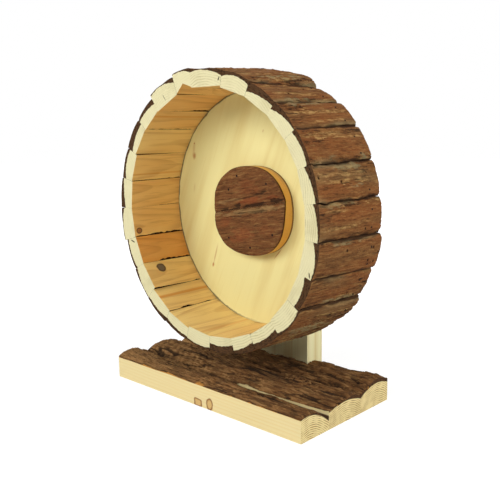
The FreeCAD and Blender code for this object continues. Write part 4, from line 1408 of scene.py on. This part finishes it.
class Slab:
    """Shape of a slab of the base: as long and wide as its CAD solid, notched if it is the back one."""

    def __init__(self, node, seed, settings):
        self.node = node
        self.seed = seed
        self.settings = settings
        self.listed = SLABS[node]
        self.low, self.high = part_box(node)
        self.tree = cad_tree(node)
        self.foot, foot_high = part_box("upright")
        self.notched = node == "base_slab_back"
        self.notch_front = self.foot.y - NOTCH_ROOM
        self.notch_half = foot_high.x + NOTCH_ROOM
        notch_sides = (-self.notch_half, self.notch_half) if self.notched else ()
        self.xs = spaced(self.low.x, self.high.x, settings.step * 1.1, notch_sides)
        self.ys = spaced(self.low.y, self.high.y, settings.step, (self.notch_front,) if self.notched else ())
        core_across, core_up = self.listed["core"]
        self.core = Vector((0, self.low.y + core_across * MM, core_up * MM))

    def blend(self, name, x, y):
        """A height or thickness between the listed ones along the slab."""
        low, high, listed = self.low, self.high, self.listed
        share = 2 * (y - low.y) / (high.y - low.y) - 1
        left, right = (through(listed[name + end], share) for end in ("left", "right"))
        middle = (left + right) / 2
        if name + "middle" in listed:
            middle = through(listed[name + "middle"], share)
        return through((left, middle, right), 2 * (x - low.x) / (high.x - low.x) - 1) * MM

    def bottom(self, x, y):
        """Height of the CAD solid's underside, up in a countersink where there is one."""
        edge = 0.005 * MM
        x, y = (
            min(max(value, bottom + edge), top - edge)
            for value, bottom, top in ((x, self.low.x, self.high.x), (y, self.low.y, self.high.y)))
        hit = self.tree.ray_cast(Vector((x, y, -1)), UP)[0]
        return min(hit.z, self.settings.sink) if hit else self.settings.sink

    def chipped(self, x, y):
        """How far the front edge's bark is chipped away."""
        if "chip" not in self.listed:
            return 0.0
        middle, half = self.listed["chip"]
        ragged = 1.6 * noise.noise((x * 260, y * 260, 3.8))
        aside = 1 - smooth(abs(x / MM - middle) / half + 0.3 * ragged, 0.5, 1.0)
        return aside * (1 - smooth((y - self.low.y) / MM + ragged, 2.0, 5.5))

    def bare(self, x, y):
        """How bare of bark the slab is along its front edge."""
        if "bare" not in self.listed:
            return 0.0
        start, end, left, right = self.listed["bare"]
        wide = left + (right - left) * (x / MM - start) / (end - start)
        ragged = two_waves((x * 60, 4.4, 0.3), (x * 240, y * 200, 7.2), 0.6)
        ends = smooth(x / MM, start - 3, start + 3) * (1 - smooth(x / MM, end - 2, end + 2))
        return ends * (1 - smooth((y - self.low.y) / MM - 0.5 * ragged, 0.7 * wide, 1.15 * wide))

    def swirl(self, x, y):
        """Distance from a knot under the bark, in knot radii, and how much the bark is drawn round it."""
        if "swirl" not in self.listed:
            return 9.0, 0.0
        across, along, reach = self.listed["swirl"]
        away = math.hypot(x / MM - across, (y / MM - along) * 1.3) / reach
        return away, 1 - smooth(away, 0.75, 1.25)

    def bark(self, x, y, wood):
        """Height of the bark, kept over the wood's, and how cracked, weathered and torn it is; the weathered
        value also holds painted light, paler towards the base's left end.
        """
        low, high = self.low, self.high
        away, drawn = self.swirl(x, y)
        wave = math.sin(10 * away + 3.4 * noise.noise((x * 90, y * 90, 8.8)))
        height, crack, torn = bark_relief("base", x, y, self.seed, 0.8)
        height += drawn * (SWIRL_WAVE * wave + SWIRL_RISE * (1 - smooth(away, 0.1, 0.9)) - 0.5 * height)
        crack = max(crack * (1 - 0.6 * drawn), drawn * smooth(-wave, 0.2, 0.8))
        ends = min(x - low.x, high.x - x)
        sides = min(y - low.y, high.y - y)
        worn = self.settings.edge_wear * beside(min(ends, sides), SLAB_EDGE_WORN)
        worn *= 0.6 + 0.8 * noise.noise((x * 70, y * 70, self.seed + 2.9))
        height *= 0.35 + 0.65 * smooth(ends, 0.0, SLAB_END_FLAT)
        chip = self.chipped(x, y)
        bare = self.bare(x, y)
        worn = worn * (1 - bare) - BARE_RISE * bare
        height *= 1 - 0.8 * bare
        z = max(self.blend("", x, y) + height - worn - CHIP_DEPTH * chip, wood + SLAB_LEAST_BARK)
        crack = max(crack, 0.7 * beside(sides, SLAB_SIDE_DARK)) * (1 - max(chip, bare))
        # painted light: the bark grows paler towards the base's left end, standing in for more light on that
        # end
        pale = 0.4 * weathering(x, y, 0.4, self.seed) + 0.6 * smooth(-x, -0.03, 0.09)
        return z, Vector((crack, pale * (0.6 + 0.4 * wave), torn * (1 - chip)))

    def place(self, column, row, layer):
        """A point of the slab, its place in the log and its bark values."""
        x, y = self.xs[column], self.ys[row]
        bark = Vector()
        if layer == UNDERSIDE:
            z = self.bottom(x, y)
        elif self.notched and abs(x) < self.notch_half and y > self.notch_front:
            z = self.foot.z - (BARK_FACE - layer) * MM
        else:
            z = self.blend("", x, y) - self.blend("bark_", x, y)
            z += SLAB_WAVE * noise.noise((x * 40, y * 40, self.seed))
            if layer == BARK_FACE:
                z, bark = self.bark(x, y, z)
        point = Vector((x, y, z))
        return point, point - self.core + Vector((0.6 + self.seed, 0, 0)), bark


class WHEEL_OT_base(bpy.types.Operator):
    """Build the three bark-on slabs of the base"""
    bl_idname = "wheel.base"
    bl_label = "Base slabs"

    def execute(self, context):
        for index, node in enumerate(SLABS):
            self.slab(Slab(node, 29.3 * (index + 1), context.scene.wheel_slabs))
        return {"FINISHED"}

    def slab(self, form):
        block = Block(f"bark_{form.node}", len(form.xs) - 1, len(form.ys) - 1, form.place)
        block.note("rough", 0.55)
        block.note("ruddy", lambda vert: form.chipped(vert.co.x, vert.co.y))
        block.note("bare", lambda vert: 0.9 * form.bare(vert.co.x, vert.co.y))
        for name, knot in zip(("knot", "second_knot"), form.listed["knots"]):
            along, up, half_width, half_height, squareness = (*(size * MM for size in knot[:4]), knot[4])
            block.knot(name, lambda vert: (
                (vert.co.x - along) / half_width, (vert.co.z - up) / half_height), squareness)
        piece = block.object((slab_edge, slab_end, slab_edge, base_bark, cut_slab_bark), COLUMN_ENDS)
        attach(piece, "stand")
        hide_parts(form.node)


def loose_parts(mesh):
    """The points of each separate part of a mesh, in the mesh's own order."""
    taken = set()
    for first in mesh.verts:
        if first in taken:
            continue
        part = [first]
        taken.add(first)
        for vert in part:
            for edge in vert.link_edges:
                other = edge.other_vert(vert)
                if other not in taken:
                    taken.add(other)
                    part.append(other)
        yield part


class WHEEL_OT_brads(bpy.types.Operator):
    """Set the brad heads into the bark of the drum and the hub cover"""
    bl_idname = "wheel.brads"
    bl_label = "Brads"

    def execute(self, context):
        settings = context.scene.wheel_brads
        for node in ("stave_brads", "hub_brads"):
            self.heads(node, settings)
        return {"FINISHED"}

    def heads(self, node, settings):
        copy = bmesh.new()
        copy.from_mesh(frame["nodes"][node].data)
        bmesh.ops.remove_doubles(copy, verts=copy.verts[:], dist=0.001 * MM)
        mesh = bmesh.new()
        for brad in loose_parts(copy):
            self.head(mesh, [vert.co for vert in brad], settings)
        copy.free()
        bmesh.ops.recalc_face_normals(mesh, faces=mesh.faces[:])
        piece = piece_of(mesh, f"set_{node}", dark_steel)
        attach(piece, "wheel")
        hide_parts(node)

    def head(self, mesh, corners, settings):
        """One dished head on the bark over a brad, with a short shank down into the wood."""
        middle = sum(corners, Vector()) / len(corners)
        axial = middle - AXLE
        outward = Vector((axial.x, 0, axial.z)).normalized()
        radius = settings.head_radius
        in_hub = max((corner - middle).dot(outward) for corner in corners) < HUB_BRAD_SPREAD
        if in_hub:
            outward = -ALONG_AXLE
            radius *= HUB_HEAD_SHARE
            spots = [AXLE + Vector((across * MM, axial.y, up * MM)) for across, up in HUB_BRADS]
            middle = min(spots, key=lambda spot: (spot - middle).length)
        top = max(corner.dot(outward) for corner in corners)
        surface = self.bark_over(middle, outward)
        foot = middle + outward * (top - middle.dot(outward) - SHANK)
        tip = middle + outward * (surface.dot(outward) + settings.proud - middle.dot(outward))
        turn = UP.rotation_difference(outward).to_matrix().to_4x4()
        made = bmesh.ops.create_cone(
            mesh, cap_ends=True, segments=HEAD_SIDES, radius1=radius * 0.7, radius2=radius,
            depth=(tip - foot).length, matrix=Matrix.Translation((foot + tip) / 2) @ turn)
        caps = [face for vert in made["verts"] for face in vert.link_faces if len(face.verts) == HEAD_SIDES]
        upper = max(caps, key=lambda face: face.calc_center_median().dot(outward))
        bmesh.ops.inset_region(mesh, faces=[upper], thickness=radius * 0.3, depth=-settings.proud * 0.8)

    def bark_over(self, middle, outward):
        """The point on the finished bark straight over a brad."""
        best = middle
        for piece in bpy.data.objects:
            if piece.name.startswith(("bark_stave", "bark_hub")):
                start = middle + outward * BARK_SEARCH
                hit, place, _, _ = piece.ray_cast(start, -outward, distance=BARK_SEARCH)
                if hit and place.dot(outward) > best.dot(outward):
                    best = place
        return best


CARRIED_OVER = {
    "back_disc": plywood, "hub_boss": turned_pine, "axle_bush": brass, "base_dowels": turned_pine,
    "upright": planed_board, "upright_screws": yellow_zinc, "axle_bolt": zinc, "spacer_washer": zinc,
    "back_washer": zinc, "lock_nut": zinc,
}


class WHEEL_OT_carried(bpy.types.Operator):
    """Finish the disc, upright, axle and fixings that keep their CAD shape"""
    bl_idname = "wheel.carried"
    bl_label = "Disc, upright and axle"

    def execute(self, context):
        for node, make in CARRIED_OVER.items():
            piece = frame["nodes"][node]
            if not piece.material_slots:
                raise RuntimeError(f"{node} has no material slot")
            for slot in piece.material_slots:
                slot.material = finish(make)
        return {"FINISHED"}


class WHEEL_OT_stage(bpy.types.Operator):
    """Set up the white floor, the lamps and the camera"""
    bl_idname = "wheel.stage"
    bl_label = "Stage"

    def execute(self, context):
        settings = context.scene.wheel_stage
        self.floor(settings)
        self.sky(context.scene, settings)
        for name, (place, size, power_name) in LAMPS.items():
            self.lamp(name, place, size, getattr(settings, power_name))
        self.camera(context.scene, settings)
        context.scene.view_settings.view_transform = "Standard"
        return {"FINISHED"}

    def floor(self, settings):
        mesh = bmesh.new()
        bmesh.ops.create_grid(mesh, x_segments=1, y_segments=1, size=settings.floor_size)
        floor = piece_of(mesh, "floor")
        material = bpy.data.materials.new("white_floor")
        material.use_nodes = True
        tree = material.node_tree
        tree.nodes.clear()
        bench = Signal(tree)
        across, along, _ = parts(object_space(bench))
        away = step_up((across * across + along * along) ** 0.5, *FLOOR_FADE)
        glow = settings.floor_glow + (1 - settings.floor_glow) * away
        matt = bench.node("ShaderNodeBsdfDiffuse", {}, {"Color": FLOOR_GREY})
        white = bench.node("ShaderNodeEmission", {}, {"Color": WHITE, "Strength": FLOOR_LIGHT})
        both = bench.node("ShaderNodeMixShader", {}, {0: self.seen(bench) * glow, 1: matt, 2: white})
        bench.node("ShaderNodeOutputMaterial", {}, {"Surface": both})
        floor.data.materials.append(material)

    def seen(self, bench):
        """1 for what the camera sees, straight or by reflection or through glass."""
        path = bench.node("ShaderNodeLightPath")
        glossy = path.twin("Is Glossy Ray")
        clear = path.twin("Is Transmission Ray")
        return path.math("MAXIMUM", path.math("MAXIMUM", path, glossy), clear)

    def sky(self, scene, settings):
        world = bpy.data.worlds.new("white_sky")
        world.use_nodes = True
        scene.world = world
        tree = world.node_tree
        tree.nodes.clear()
        bench = Signal(tree)
        seen = self.seen(bench)
        strength = settings.sky + seen * (1.0 - settings.sky)
        light = bench.node("ShaderNodeBackground", {}, {"Color": WHITE, "Strength": strength})
        bench.node("ShaderNodeOutputWorld", {}, {"Surface": light})

    def lamp(self, name, place, size, power):
        data = bpy.data.lights.new(name, "AREA")
        data.shape = "DISK"
        data.size = size
        data.energy = power
        lamp = bpy.data.objects.new(name, data)
        lamp.location = place
        aim = LAMP_AIM - Vector(place)
        lamp.rotation_euler = aim.to_track_quat("-Z", "Y").to_euler()
        bpy.context.scene.collection.objects.link(lamp)

    def camera(self, scene, settings):
        data = bpy.data.cameras.new("photo_camera")
        data.sensor_width = settings.sensor
        data.lens = settings.lens
        data.clip_start = 0.01
        camera = bpy.data.objects.new("photo_camera", data)
        yaw, pitch = settings.yaw, settings.pitch
        back = Vector((math.sin(yaw) * math.cos(pitch), -math.cos(yaw) * math.cos(pitch), math.sin(pitch)))
        right = Vector((math.cos(yaw), math.sin(yaw), 0))
        basis = Matrix((right, back.cross(right), back)).transposed().to_4x4()
        camera.matrix_world = (Matrix.Translation(settings.camera_place) @ basis
                               @ Matrix.Rotation(settings.roll, 4, "Z"))
        scene.collection.objects.link(camera)
        scene.camera = camera


STEPS = (WHEEL_OT_staves, WHEEL_OT_hub, WHEEL_OT_base, WHEEL_OT_brads, WHEEL_OT_carried, WHEEL_OT_stage)


class WHEEL_PT_panel(bpy.types.Panel):
    """Lists the steps that dress the wheel"""
    bl_idname = "WHEEL_PT_panel"
    bl_label = "Exercise Wheel"
    bl_space_type = "VIEW_3D"
    bl_region_type = "UI"
    bl_category = "Exercise Wheel"

    def draw(self, context):
        for step in STEPS:
            self.layout.operator(step.bl_idname)
        for name in SETTINGS:
            for prop in getattr(context.scene, name).bl_rna.properties:
                if prop.identifier not in ("name", "rna_type"):
                    self.layout.prop(getattr(context.scene, name), prop.identifier)


SETTINGS = {
    "wheel_staves": StaveSettings, "wheel_hub": HubSettings, "wheel_slabs": SlabSettings,
    "wheel_brads": BradSettings, "wheel_finishes": FinishSettings, "wheel_stage": StageSettings,
}


def register():
    for name, group in SETTINGS.items():
        bpy.utils.register_class(group)
        setattr(bpy.types.Scene, name, PointerProperty(type=group))
    for step in STEPS:
        bpy.utils.register_class(step)
    bpy.utils.register_class(WHEEL_PT_panel)


def unregister():
    bpy.utils.unregister_class(WHEEL_PT_panel)
    for step in reversed(STEPS):
        bpy.utils.unregister_class(step)
    for name, group in reversed(SETTINGS.items()):
        delattr(bpy.types.Scene, name)
        bpy.utils.unregister_class(group)


def main():
    register()
    bpy.ops.wheel.staves()
    bpy.ops.wheel.hub()
    bpy.ops.wheel.base()
    bpy.ops.wheel.brads()
    bpy.ops.wheel.carried()
    bpy.ops.wheel.stage()


if __name__ == "__main__":
    main()
